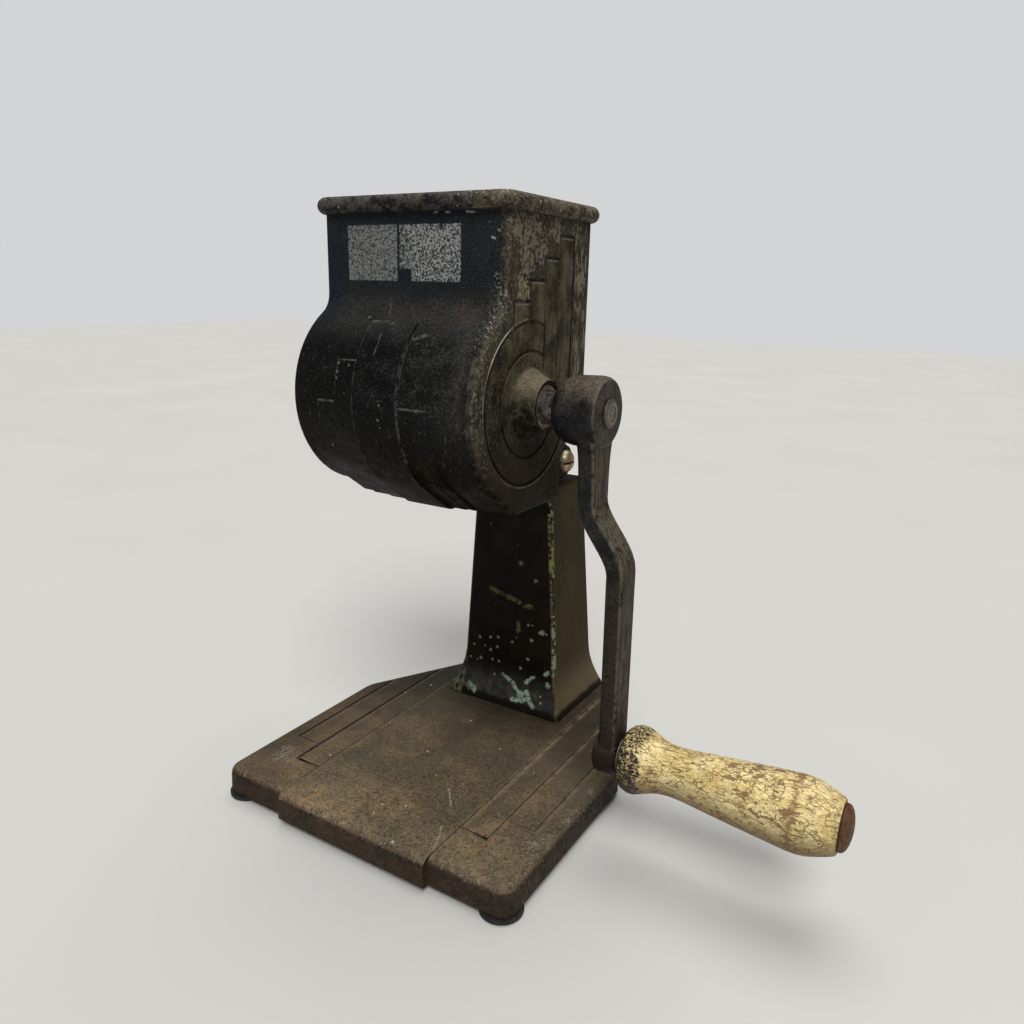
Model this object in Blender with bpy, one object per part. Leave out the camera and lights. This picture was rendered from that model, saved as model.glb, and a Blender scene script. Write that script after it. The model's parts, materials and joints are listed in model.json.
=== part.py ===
"""Hand-cranked drum grinder: a cast base, a tapered pedestal, a square hopper over a
horizontal drum housing, and a crank with a turned wooden grip.

Metres, +Z up. The origin is the centre of the base casting's underside, +X points to
the crank's side and -Y to the front, where the drum bulges out over the base.
"""

import math

import bmesh
import bpy
from mathutils import Matrix, Vector

GAP = 0.0003

# Base casting
BASE_HALF_WIDTH = 0.081
BASE_FRONT = -0.0905
BASE_REAR = 0.0935
BASE_SIDE_TOP = 0.0136
BASE_TOP = 0.0141
BASE_EDGE_RADIUS = 0.0045
BASE_TAPER_START = 0.0135
BASE_REAR_HALF_WIDTH = 0.038
BASE_SKIN = 0.0045
APRON_HALF_WIDTH = 0.0415
APRON_FRONT = -0.0936
RIB_HALF_WIDTH = 0.004
GROOVE_WIDTH = 0.0013
GROOVE_DEPTH = 0.0006
# Outline lines on the base: how far out, and where the front end is.
BASE_LINES = ((0.056, -0.0674), (0.0702, -0.0521))
FOOT_RADIUS = 0.0093
FOOT_HEIGHT = 0.002
FOOT_STEM_RADIUS = 0.003
FOOT_PLACES = {
    "front_left": (-0.073, -0.0825),
    "front_right": (0.073, -0.0825),
    "rear_left": (-0.029, 0.085),
    "rear_right": (0.029, 0.085),
}

# Pedestal
PEDESTAL_BOTTOM = BASE_TOP + GAP
PEDESTAL_TOP = 0.1414
PEDESTAL_FRONT = 0.0393
PEDESTAL_WALL = 0.004
PEDESTAL_SCREWS = {
    "front_left": (-0.023, 0.048),
    "front_right": (0.023, 0.048),
    "rear_left": (-0.023, 0.070),
    "rear_right": (0.023, 0.070),
}

# Clamp joint between the pedestal's tongue and the housing's ears
CLAMP_Y = 0.0609
CLAMP_Z = 0.1516
LUG_RADIUS = 0.0084
TONGUE_HALF = 0.007
EAR_INNER = 0.0074
EAR_OUTER = 0.0188
BOLT_RADIUS = 0.003

# Housing: hopper and drum in one casting
HALF_LENGTH = 0.0465
AXIS_Y = -0.0265
AXIS_Z = 0.1932
DRUM_RADIUS = 0.0423
DRUM_BORE = 0.0383
EDGE_ROUND = 0.004
HOPPER_FRONT = -0.0195
HOPPER_REAR = 0.0524
HOPPER_WALL = 0.004
HOPPER_TOP = 0.0815
NECK_FILLET = 0.009
SKIRT_BOTTOM = -0.047
SKIRT_REAR = 0.0323
SKIRT_LEAVE = 235
SKIRT_CORNER = 0.0055
SKIRT_LEFT = -0.0372
OUTLET_FRONT = -0.0005
OUTLET_REAR = 0.0283
BEAD_RADIUS = 0.0035
INNER_X = HALF_LENGTH - HOPPER_WALL
LEFT_WALL_INNER = -0.0395
BOSS_MOUTH = 0.0556
BUSH_RADIUS = 0.009
SIDE_CIRCLES = (0.0335, 0.0220)
# Raised strips on the drum: left and right edge, top angle, height at the front and underneath.
DRUM_BARS = (
    (-0.0307, -0.0208, 180, 0.0006, 0.0006),
    (-0.0210, -0.0112, 157, 0.0009, 0.0011),
    (-0.0113, 0.0114, 132, 0.0013, 0.0021),
    (0.0113, 0.0196, 180, 0.0006, 0.0011),
    (0.0195, 0.0256, 180, 0.0006, 0.0006),
)

# End cover on the left side
COVER_RADIUS = 0.0362
COVER_INNER = -0.0428
COVER_BOSS_END = -0.0560
COVER_SCREW_RING = 0.0338

# Shaft, grinding drum and breaker plate
SHAFT_RADIUS = 0.007
SHAFT_LEFT = -0.0529
ROTOR_LEFT = -0.0412
ROTOR_RIGHT = 0.0409
ROTOR_RADIUS = 0.0305
ROTOR_ROOT = 0.0255
ROTOR_CORE = 0.017
ROTOR_TEETH = 10
ROTOR_DISCS = 6
ROTOR_GROOVE = 0.0048
PIN_RADIUS = 0.002
BREAKER_RADIUS = 0.0317
BREAKER_SCREW_X = 0.028
BREAKER_SCREW_RISE = 0.026

# Crank
CRANK_LEAN = math.radians(1.7)
CRANK_THROW = 0.148
HUB_INNER = 0.061
HUB_OUTER = 0.0828
HUB_SQUARE = 0.0046
HUB_SQUARE_END = 0.0766
ARM_WIDTH = 0.0153
ARM_THICKNESS = 0.0078
ARM_TOP_X = 0.0772
ARM_LOW_X = 0.0912
BEND_START = 0.036
BEND_END = 0.065
EYE_INNER = 0.0855
EYE_OUTER = 0.0959
EYE_RADIUS = 0.0099

# Grip
SPINDLE_RADIUS = 0.0033
GRIP_START = 0.0975
GRIP_END = 0.1866
GRIP_BORE = 0.00337
CAP_RADIUS = 0.0094
CAP_TIP = 0.1910


def clear_scene():
    for old in list(bpy.data.objects):
        bpy.data.objects.remove(old, do_unlink=True)


def finish(name, colour, roughness, metallic):
    made = bpy.data.materials.new(name)
    made.use_nodes = True
    shader = made.node_tree.nodes["Principled BSDF"]
    shader.inputs["Base Color"].default_value = (*colour, 1.0)
    shader.inputs["Roughness"].default_value = roughness
    shader.inputs["Metallic"].default_value = metallic
    return made


def add_object(name, bm, surface, parent=None):
    bmesh.ops.recalc_face_normals(bm, faces=bm.faces)
    mesh = bpy.data.meshes.new(name)
    bm.to_mesh(mesh)
    bm.free()
    mesh.materials.append(surface)
    mesh.shade_smooth()
    mesh.set_sharp_from_angle(angle=math.radians(32))
    made = bpy.data.objects.new(name, mesh)
    bpy.context.scene.collection.objects.link(made)
    made.parent = parent
    return made


def combine(target, name, bm, operation="DIFFERENCE"):
    """Cuts a helper shape from the target, or joins it on."""
    helper = add_object(name, bm, None, target.parent)
    helper.hide_render = True
    helper.display_type = "WIRE"
    step = target.modifiers.new(name, "BOOLEAN")
    step.operation = operation
    step.solver = "EXACT"
    step.object = helper


def loft(rings, ring_closed=False):
    """Skin over rings of equally many points, capped at both ends or closed on itself."""
    bm = bmesh.new()
    loops = [[bm.verts.new(point) for point in ring] for ring in rings]
    pairs = list(zip(loops, loops[1:]))
    if ring_closed:
        pairs.append((loops[-1], loops[0]))
    for low, high in pairs:
        for i, corner in enumerate(low):
            j = (i + 1) % len(low)
            bm.faces.new((corner, low[j], high[j], high[i]))
    if not ring_closed:
        bm.faces.new(list(reversed(loops[0])))
        bm.faces.new(loops[-1])
    return bm


def turned(profile, steps=32, hollow=False):
    """A body of revolution about X from (x, radius) points. Hollow takes a closed profile."""
    rings = []
    for x, radius in profile:
        ring = []
        for i in range(steps):
            angle = math.tau * i / steps
            ring.append((x, radius * math.cos(angle), radius * math.sin(angle)))
        rings.append(ring)
    return loft(rings, ring_closed=hollow)


def tube(x0, x1, outer, inner, steps=32):
    return turned(((x0, outer), (x1, outer), (x1, inner), (x0, inner)), steps, hollow=True)


def rod(x0, x1, radius, steps=32):
    return turned(((x0, radius), (x1, radius)), steps)


def moved(bm, shift=(0, 0, 0), turn=None):
    matrix = Matrix.Translation(Vector(shift))
    if turn is not None:
        matrix = matrix @ turn
    bmesh.ops.transform(bm, matrix=matrix, verts=bm.verts)
    return bm


UPRIGHT = Matrix.Rotation(-math.pi / 2, 4, "Y")
REARWARD = Matrix.Rotation(math.pi / 2, 4, "Z")


def prism_x(outline, x0, x1):
    return loft([[(x, y, z) for y, z in outline] for x in (x0, x1)])


def prism_z(outline, z0, z1):
    return loft([[(x, y, z) for x, y in outline] for z in (z0, z1)])


def box(low, high):
    outline = ((low[1], low[2]), (high[1], low[2]), (high[1], high[2]), (low[1], high[2]))
    return prism_x(outline, low[0], high[0])


def joined(shapes):
    """Several shapes that don't touch, as one helper."""
    whole = bmesh.new()
    for shape in shapes:
        mesh = bpy.data.meshes.new("piece")
        shape.to_mesh(mesh)
        shape.free()
        whole.from_mesh(mesh)
        bpy.data.meshes.remove(mesh)
    return whole


def arc(centre, radius, start, end, step=8):
    """Points along an arc, angles in degrees, both ends included."""
    count = max(2, math.ceil(abs(end - start) / step) + 1)
    points = []
    for i in range(count):
        angle = math.radians(start + (end - start) * i / (count - 1))
        points.append((centre[0] + radius * math.cos(angle), centre[1] + radius * math.sin(angle)))
    return points


def arc_angles(start, end, step=8):
    """The angles of arc's points."""
    count = max(2, math.ceil(abs(end - start) / step) + 1)
    return [start + (end - start) * i / (count - 1) for i in range(count)]


def rounded(corners, step=15):
    """A closed outline from (a, b, radius) corners, each rounded between straight sides."""
    outline = []
    for i, (a, b, radius) in enumerate(corners):
        here = Vector((a, b))
        back = (Vector(corners[i - 1][:2]) - here).normalized()
        ahead = (Vector(corners[(i + 1) % len(corners)][:2]) - here).normalized()
        half = back.angle(ahead) / 2
        if radius == 0:
            outline.append((a, b))
            continue
        centre = here + (back + ahead).normalized() * (radius / math.sin(half))
        first = here + back * (radius / math.tan(half)) - centre
        last = here + ahead * (radius / math.tan(half)) - centre
        sweep = first.angle_signed(last)
        count = max(2, math.ceil(abs(math.degrees(sweep)) / step) + 1)
        start = math.atan2(first.y, first.x)
        for k in range(count):
            angle = start - sweep * k / (count - 1)
            outline.append((centre.x + radius * math.cos(angle), centre.y + radius * math.sin(angle)))
    return outline


def inset(outline, depth):
    """The outline moved inwards. Its points run anticlockwise."""
    moved_in = []
    for i, here in enumerate(outline):
        before = Vector(here) - Vector(outline[i - 1])
        after = Vector(outline[(i + 1) % len(outline)]) - Vector(here)
        normal_a = Vector((-before.y, before.x)).normalized()
        normal_b = Vector((-after.y, after.x)).normalized()
        mean = (normal_a + normal_b).normalized()
        reach = depth / max(mean.dot(normal_a), 0.5)
        moved_in.append((here[0] + mean.x * reach, here[1] + mean.y * reach))
    return moved_in


def edge_steps(radius, count=4):
    """(rise, inset) pairs round a quarter-round edge, from the side to the top."""
    for i in range(1, count + 1):
        angle = math.pi / 2 * i / count
        yield radius * math.sin(angle), radius * (1 - math.cos(angle))


# ---------------------------------------------------------------- base


def base_outline():
    right = [
        (BASE_HALF_WIDTH, BASE_FRONT, 0.007),
        (BASE_HALF_WIDTH, BASE_TAPER_START, 0.012),
        (BASE_REAR_HALF_WIDTH, BASE_REAR, 0.006),
    ]
    left = [(-x, y, radius) for x, y, radius in reversed(right)]
    return rounded(right + left)


def base_plate(surface):
    outline = base_outline()
    shoulder = BASE_SIDE_TOP - BASE_EDGE_RADIUS
    levels = [(0.0, 0.0008), (0.0012, 0.0), (shoulder, 0.0003)]
    levels += [(shoulder + rise, 0.0003 + run) for rise, run in edge_steps(BASE_EDGE_RADIUS)]
    rings = [[(x, y, z) for x, y in inset(outline, depth)] for z, depth in levels]
    plate = add_object("base_plate", loft(rings), surface)
    combine(plate, "base_centre_panel", base_centre_panel(), "UNION")
    combine(plate, "base_pockets", base_pockets())
    holes = [moved(rod(-0.001, 0.008, FOOT_STEM_RADIUS + GAP, 20), (x, y, 0), UPRIGHT)
             for x, y in FOOT_PLACES.values()]
    holes += [moved(rod(0.005, 0.020, BOLT_RADIUS - 0.0007, 20), (x, y, 0), UPRIGHT)
              for x, y in PEDESTAL_SCREWS.values()]
    combine(plate, "base_holes", joined(holes))
    combine(plate, "base_long_lines", joined(base_long_lines()))
    combine(plate, "base_end_lines", joined(base_end_lines()))
    return plate


def base_centre_panel():
    """The raised middle panel, which steps out past the front edge."""
    shoulder = BASE_TOP - BASE_EDGE_RADIUS
    levels = [(0.0004, 0.0008), (0.0014, 0.0), (shoulder, 0.0)]
    levels += [(shoulder + rise, run) for rise, run in edge_steps(BASE_EDGE_RADIUS)]
    rings = []
    for z, run in levels:
        half = APRON_HALF_WIDTH
        right = [(half, APRON_FRONT + run, z), (half, 0.0815, z), (0.0366, 0.0912, z)]
        left = [(-x, y, z) for x, y, z in reversed(right)]
        rings.append(right + left)
    return loft(rings)


def base_pockets():
    front = ((RIB_HALF_WIDTH, -RIB_HALF_WIDTH), (RIB_HALF_WIDTH, -0.084), (0.055, -0.084),
             (0.0755, -0.062), (0.0755, -RIB_HALF_WIDTH))
    rear = ((RIB_HALF_WIDTH, RIB_HALF_WIDTH), (0.0755, RIB_HALF_WIDTH), (0.0755, 0.012),
            (0.044, 0.066), (0.017, 0.082), (RIB_HALF_WIDTH, 0.082))
    top = BASE_SIDE_TOP - BASE_SKIN
    pockets = []
    for outline in (front, rear):
        for side in (1, -1):
            pockets.append(prism_z([(side * x, y) for x, y in outline], -0.001, top))
    for pocket in pockets:
        bmesh.ops.recalc_face_normals(pocket, faces=pocket.faces)
    return joined(pockets)


def base_long_lines():
    """Grooves that run front to back beside the middle panel."""
    half = GROOVE_WIDTH / 2
    lines = []
    for x, front in BASE_LINES:
        slope = (BASE_REAR - BASE_TAPER_START) / (BASE_HALF_WIDTH - BASE_REAR_HALF_WIDTH)
        rear = BASE_TAPER_START + (BASE_HALF_WIDTH - x) * slope - 0.011
        for side in (1, -1):
            low = (side * x - half, front, BASE_SIDE_TOP - GROOVE_DEPTH)
            lines.append(box(low, (side * x + half, rear, BASE_SIDE_TOP + 0.002)))
    return lines


def base_end_lines():
    """Short grooves that close the front ends of the strips."""
    lines = []
    inner = APRON_HALF_WIDTH + 0.0005
    for x, front in BASE_LINES:
        for side in (1, -1):
            ends = sorted((side * inner, side * (x - GROOVE_WIDTH / 2 + 0.0001)))
            low = (ends[0], front, BASE_SIDE_TOP - GROOVE_DEPTH * 0.9)
            lines.append(box(low, (ends[1], front + GROOVE_WIDTH, BASE_SIDE_TOP + 0.002)))
        inner = x + GROOVE_WIDTH / 2 - 0.0001
    return lines


def foot(name, x, y, surface):
    low = -FOOT_HEIGHT - GAP
    profile = ((low, FOOT_RADIUS - 0.0008), (low + 0.0008, FOOT_RADIUS), (-GAP, FOOT_RADIUS),
               (-GAP, FOOT_STEM_RADIUS), (0.007, FOOT_STEM_RADIUS))
    return add_object(name, moved(turned(profile, 28), (x, y, 0), UPRIGHT), surface)


# ---------------------------------------------------------------- pedestal


def pedestal_section(z):
    """(half width, front, rear) of the pedestal at one height."""
    rise = z - 0.0465
    fade = max(0.0, 1 - (z - 0.0155) / 0.0235)
    flare = min(1.0, fade)
    half = 0.0286 - 0.064 * rise + 0.0046 * flare ** 1.6
    front = PEDESTAL_FRONT - 0.0064 * flare ** 1.8
    rear = 0.0826 - 0.055 * rise + 0.0062 * flare ** 1.8
    return half, front, rear


def pedestal_ring(z, depth=0.0, radius=0.0022):
    half, front, rear = pedestal_section(z)
    half -= depth
    front += depth
    rear -= depth
    corners = ((half, front, radius), (half, rear, radius), (-half, rear, radius), (-half, front, radius))
    return [(x, y, z) for x, y in rounded(corners, 30)]


def pedestal(surface):
    heights = [PEDESTAL_BOTTOM, 0.0160, 0.0175, 0.0195, 0.022, 0.025, 0.029, 0.034, 0.040, 0.060]
    rings = [pedestal_ring(z) for z in heights]
    shoulder = PEDESTAL_TOP - 0.0025
    rings.append(pedestal_ring(shoulder))
    for rise, run in edge_steps(0.0025, 3):
        ring = pedestal_ring(shoulder + rise, run, max(0.0022 - run, 0.0006))
        rings.append(ring)
    column = add_object("pedestal", loft(rings), surface)
    tongue = [(CLAMP_Y - LUG_RADIUS, PEDESTAL_TOP - 0.002), (CLAMP_Y + LUG_RADIUS, PEDESTAL_TOP - 0.002)]
    tongue += arc((CLAMP_Y, CLAMP_Z), LUG_RADIUS, 0, 180, 15)
    combine(column, "pedestal_tongue", prism_x(tongue, -TONGUE_HALF, TONGUE_HALF), "UNION")
    combine(column, "pedestal_hollow", pedestal_hollow())
    combine(column, "pedestal_foot_hollow", pedestal_foot_hollow())
    holes = [moved(rod(0.010, 0.0305, BOLT_RADIUS - 0.0007, 20), (x, y, 0), UPRIGHT)
             for x, y in PEDESTAL_SCREWS.values()]
    combine(column, "pedestal_screw_holes", joined(holes))
    bolt_hole = moved(rod(-0.02, 0.02, BOLT_RADIUS + GAP, 24), (0, CLAMP_Y, CLAMP_Z))
    combine(column, "pedestal_bolt_hole", bolt_hole)
    return column


def pedestal_hollow():
    heights = (0.034, 0.060, PEDESTAL_TOP - 0.0055)
    return loft([pedestal_ring(z, PEDESTAL_WALL, 0.003) for z in heights])


def pedestal_foot_hollow():
    """The open lower end, with solid corners left for the screws."""
    half, front, rear = pedestal_section(0.040)
    half -= PEDESTAL_WALL
    front += PEDESTAL_WALL
    rear -= PEDESTAL_WALL
    cut = 0.0145
    outline = ((half - cut, front), (half, front + cut), (half, rear - cut), (half - cut, rear),
               (cut - half, rear), (-half, rear - cut), (-half, front + cut), (cut - half, front))
    return prism_z(outline, 0.010, 0.0405)


def slotted_screw(name, surface, place, turn, head, shank, length, slot_turn=0.0, steps=16):
    """A round-head screw along X: the head rises towards +X from x = 0."""
    rise = head * 0.72
    dome = [(rise * math.sin(angle), head * math.cos(angle) ** 0.8)
            for angle in (math.radians(a) for a in (0, 18, 36, 54, 70, 82))]
    profile = [(-length, shank), (-0.0001, shank), (-0.0001, head * 0.97)] + dome
    slot = box((rise * 0.45, -head * 1.2, -head * 0.1), (rise * 2, head * 1.2, head * 0.1))
    spin = Matrix.Rotation(slot_turn, 4, "X")
    matrix = turn @ spin if turn else spin
    screw = add_object(name, moved(turned(profile, steps), place, matrix), surface)
    combine(screw, name + "_slot", moved(slot, place, matrix))
    return screw


# ---------------------------------------------------------------- housing


def at_axis(points):
    """Points given about the drum's axis, as world (y, z)."""
    return [(AXIS_Y + a, AXIS_Z + b) for a, b in points]


def housing_outline():
    """Side outline of hopper, neck, drum and outlet skirt, anticlockwise seen from +X."""
    reach = DRUM_RADIUS + NECK_FILLET
    fillet_a = HOPPER_FRONT - NECK_FILLET
    fillet_b = math.sqrt(reach ** 2 - fillet_a ** 2)
    meet = math.degrees(math.atan2(fillet_b, fillet_a))
    leave = SKIRT_LEAVE
    outline = [(HOPPER_REAR, 0.092), (HOPPER_FRONT, 0.092)]
    outline += arc((fillet_a, fillet_b), NECK_FILLET, 0, meet - 180, 12)
    outline += arc((0, 0), DRUM_RADIUS, meet, leave, 6)[1:]
    last = outline[-1]
    slope = math.tan(math.radians(leave - 270))
    corner = last[0] + (SKIRT_BOTTOM - last[1]) / slope
    skirt = ((last[0], last[1], 0), (corner, SKIRT_BOTTOM, SKIRT_CORNER), (SKIRT_REAR, SKIRT_BOTTOM, 0),
             (SKIRT_REAR, -0.029, 0.007), (HOPPER_REAR, 0.0, 0.012), (HOPPER_REAR, 0.05, 0))
    outline += rounded(skirt, 12)[1:-1]
    return at_axis(outline)


def housing_body():
    outline = housing_outline()
    rings = []
    stations = [(0.0, EDGE_ROUND)]
    stations += [(run, EDGE_ROUND - rise) for rise, run in edge_steps(EDGE_ROUND, 4)]
    left = [(-HALF_LENGTH + x, depth) for x, depth in stations]
    right = [(HALF_LENGTH - x, depth) for x, depth in reversed(stations)]
    for x, depth in left + right:
        rings.append([(x, y, z) for y, z in inset(outline, depth)])
    return loft(rings)


def rim_bead():
    """A half-round bead round the hopper's mouth."""
    z = AXIS_Z + HOPPER_TOP - BEAD_RADIUS
    y0 = AXIS_Y + HOPPER_FRONT
    y1 = AXIS_Y + HOPPER_REAR
    centre = rounded(((HALF_LENGTH, y0, 0.004), (HALF_LENGTH, y1, 0.004),
                      (-HALF_LENGTH, y1, 0.004), (-HALF_LENGTH, y0, 0.004)), 18)
    rings = []
    for i in range(16):
        angle = math.tau * i / 16
        depth = -0.0002 - BEAD_RADIUS * math.cos(angle)
        rings.append([(x, y, z + BEAD_RADIUS * math.sin(angle)) for x, y in inset(centre, depth)])
    return loft(rings, ring_closed=True)


def boss_and_mouth():
    profile = ((0.040, 0.0160), (HALF_LENGTH - 0.0002, 0.0160), (HALF_LENGTH + 0.0004, 0.0152),
               (HALF_LENGTH + 0.0014, 0.0144), (HALF_LENGTH + 0.004, 0.0132),
               (HALF_LENGTH + 0.0066, 0.0119), (HALF_LENGTH + 0.0084, 0.0111),
               (BOSS_MOUTH, 0.0108))
    return moved(turned(profile, 40), (0, AXIS_Y, AXIS_Z))


def bracket():
    """The block behind the drum that rests on the pedestal and ends in two ears."""
    outline = [(0.000, 0.1620), (0.0240, PEDESTAL_TOP + GAP), (0.0520, PEDESTAL_TOP + GAP)]
    outline += arc((CLAMP_Y, CLAMP_Z), LUG_RADIUS, -75, 75, 15)
    outline += [(0.0500, 0.1680), (0.0300, 0.1900), (0.0150, 0.1900)]
    return prism_x(outline, -EAR_OUTER, EAR_OUTER)


def drum_path(start):
    """(y, z, normal angle) about the axis, from an angle on the drum's front down under the skirt."""
    path = [(y, z, angle) for (y, z), angle in zip(
        arc((0, 0), DRUM_RADIUS, start, SKIRT_LEAVE, 8), arc_angles(start, SKIRT_LEAVE, 8))]
    corner_z = SKIRT_BOTTOM + SKIRT_CORNER
    lean = math.radians(SKIRT_LEAVE)
    corner_y = (DRUM_RADIUS - SKIRT_CORNER - corner_z * math.sin(lean)) / math.cos(lean)
    path += [(y, z, angle) for (y, z), angle in zip(
        arc((corner_y, corner_z), SKIRT_CORNER, SKIRT_LEAVE, 270, 8), arc_angles(SKIRT_LEAVE, 270, 8))]
    path.append((OUTLET_FRONT - 0.001, SKIRT_BOTTOM, 270))
    return path


def relief_bar(x0, x1, start, height, low_height):
    """A raised strip that follows the drum's front down and round under the skirt."""
    outer = []
    inner = []
    for y, z, angle in drum_path(start):
        share = min(1.0, max(0.0, (angle - 200) / 70))
        rise = height + (low_height - height) * share
        run = math.radians(angle)
        outer.append((y + rise * math.cos(run), z + rise * math.sin(run)))
        inner.append((y - 0.0015 * math.cos(run), z - 0.0015 * math.sin(run)))
    return prism_x(at_axis(outer + inner[::-1]), x0, x1)


def skirt_relief():
    """Clears the skirt from the drum's left end, which stays round there."""
    stations = [(-HALF_LENGTH - 0.001, EDGE_ROUND), (-HALF_LENGTH, EDGE_ROUND)]
    stations += [(-HALF_LENGTH + run, EDGE_ROUND - rise) for rise, run in edge_steps(EDGE_ROUND, 4)]
    stations.append((SKIRT_LEFT, 0.0))
    rings = []
    for x, depth in stations:
        outline = arc((0, 0), DRUM_RADIUS + 0.0001 - depth, 316, 236.5, 6)
        outline += [(-0.045, -0.062), (0.040, -0.062), (0.040, -0.0293)]
        rings.append([(x, y, z) for y, z in at_axis(outline)])
    return loft(rings)


def side_lines():
    """Grooved skyline and circles on the right side."""
    half = GROOVE_WIDTH / 2
    deep = HALF_LENGTH - GROOVE_DEPTH
    out = HALF_LENGTH + 0.002
    uprights = ((-0.0135, 0.0308, 0.0414), (-0.0013, 0.0340, 0.0496), (0.0110, 0.0140, 0.0585),
                (0.0221, 0.0040, 0.0676), (0.0347, -0.0080, 0.0676))
    tops = ((-0.0135, -0.0013, 0.0414), (-0.0013, 0.0110, 0.0496), (0.0110, 0.0221, 0.0585),
            (0.0221, 0.0347, 0.0676))
    lines = []
    for a, low, high in uprights:
        lines.append(box((deep, AXIS_Y + a - half, AXIS_Z + low), (out, AXIS_Y + a + half, AXIS_Z + high)))
    caps = []
    for a0, a1, b in tops:
        caps.append(box((deep, AXIS_Y + a0 - half, AXIS_Z + b - half + 0.0002),
                        (out, AXIS_Y + a1 - half - 0.0002, AXIS_Z + b + half)))
    rings = []
    for radius, start in zip(SIDE_CIRCLES, (70.0, 58.0)):
        outer = arc((0, 0), radius + half, start, 338, 8)
        inner = arc((0, 0), radius - half, 338, start, 8)
        rings.append(prism_x(at_axis(outer + inner), deep, out))
    return lines, caps, rings


def grinder_housing(surface):
    casting = add_object("grinder_housing", housing_body(), surface)
    top = box((-0.1, -0.2, AXIS_Z + HOPPER_TOP - 0.0004), (0.1, 0.2, 0.4))
    combine(casting, "hopper_top_cut", top)
    combine(casting, "rim_bead", rim_bead(), "UNION")
    combine(casting, "shaft_boss", boss_and_mouth(), "UNION")
    combine(casting, "clamp_bracket", bracket(), "UNION")
    combine(casting, "skirt_relief", skirt_relief())
    for i, bar in enumerate(DRUM_BARS):
        combine(casting, "drum_bar_%d" % (i + 1), relief_bar(*bar), "UNION")
    cut_housing_inside(casting)
    cut_housing_holes(casting)
    lines, caps, rings = side_lines()
    combine(casting, "side_uprights", joined(lines))
    combine(casting, "side_caps", joined(caps))
    combine(casting, "side_circles", joined(rings))
    return casting


def cut_housing_inside(casting):
    front = HOPPER_FRONT + HOPPER_WALL
    rear = HOPPER_REAR - HOPPER_WALL
    upper = rounded(((INNER_X, AXIS_Y + front, 0.003), (INNER_X, AXIS_Y + rear, 0.003),
                     (-INNER_X, AXIS_Y + rear, 0.003), (-INNER_X, AXIS_Y + front, 0.003)), 30)
    combine(casting, "hopper_hollow", prism_z(upper, AXIS_Z + 0.045, 0.30))
    lower = at_axis(((rear - 0.0001, 0.046), (front + 0.0001, 0.046), (front + 0.0001, 0.025),
                     (0.015, -0.002), (0.036, -0.002), (rear - 0.0001, 0.010)))
    combine(casting, "drum_inlet", prism_x(lower, LEFT_WALL_INNER, INNER_X - 0.0001))
    bore = moved(rod(LEFT_WALL_INNER - 0.0001, INNER_X, DRUM_BORE, 60), (0, AXIS_Y, AXIS_Z))
    combine(casting, "drum_bore", bore)
    outlet = box((SKIRT_LEFT + 0.003, AXIS_Y + OUTLET_FRONT, AXIS_Z - 0.06),
                 (0.038, AXIS_Y + OUTLET_REAR, AXIS_Z - 0.0250))
    combine(casting, "outlet", outlet)


def cut_housing_holes(casting):
    axis = (0, AXIS_Y, AXIS_Z)
    steps = ((-0.060, COVER_RADIUS + GAP), (COVER_INNER + GAP, COVER_RADIUS + GAP),
             (COVER_INNER + GAP, 0.0312), (-0.030, 0.0312))
    combine(casting, "cover_seat", moved(turned(steps, 60), axis))
    mouth = ((0.035, BUSH_RADIUS + GAP), (BOSS_MOUTH - 0.0006, BUSH_RADIUS + GAP),
             (BOSS_MOUTH + 0.0003, BUSH_RADIUS + 0.0010), (0.070, BUSH_RADIUS + 0.0010))
    combine(casting, "bush_bore", moved(turned(mouth, 36), axis))
    holes = [moved(rod(-0.050, -0.035, 0.0019, 16), (0, AXIS_Y + a, AXIS_Z + b))
             for a, b in cover_screw_places()]
    for x in (-BREAKER_SCREW_X, BREAKER_SCREW_X):
        hole = rod(0.015, 0.035, 0.0023, 16)
        holes.append(moved(hole, (x, 0, AXIS_Z + BREAKER_SCREW_RISE), REARWARD))
    combine(casting, "screw_holes", joined(holes))
    slot = box((-EAR_INNER, 0.0519, 0.130), (EAR_INNER, 0.080, 0.180))
    combine(casting, "ear_slot", slot)
    bolt_hole = moved(rod(-0.03, 0.03, BOLT_RADIUS + GAP, 24), (0, CLAMP_Y, CLAMP_Z))
    combine(casting, "ear_bolt_hole", bolt_hole)


def cover_screw_places():
    places = []
    for degrees in (45, 135, 225, 315):
        angle = math.radians(degrees)
        places.append((COVER_SCREW_RING * math.cos(angle), COVER_SCREW_RING * math.sin(angle)))
    return places


def end_cover(surface):
    face = -HALF_LENGTH
    profile = ((COVER_INNER, COVER_RADIUS), (face + 0.0006, COVER_RADIUS), (face, COVER_RADIUS - 0.0006),
               (face, 0.0160), (face - 0.0010, 0.0145), (face - 0.0040, 0.0132),
               (COVER_BOSS_END + 0.0010, 0.0118), (COVER_BOSS_END, 0.0106))
    axis = (0, AXIS_Y, AXIS_Z)
    cover = add_object("end_cover", moved(turned(profile, 60), axis), surface)
    pocket = rod(-0.0535, -0.030, BUSH_RADIUS + GAP, 36)
    combine(cover, "cover_bush_pocket", moved(pocket, axis))
    ring = tube(face - 0.002, face + GROOVE_DEPTH, 0.0262, 0.0250, 60)
    combine(cover, "cover_ring_line", moved(ring, axis))
    holes = [moved(rod(-0.050, -0.035, 0.0019, 16), (0, AXIS_Y + a, AXIS_Z + b))
             for a, b in cover_screw_places()]
    combine(cover, "cover_screw_holes", joined(holes))
    return cover


# ---------------------------------------------------------------- grinding parts


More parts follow.
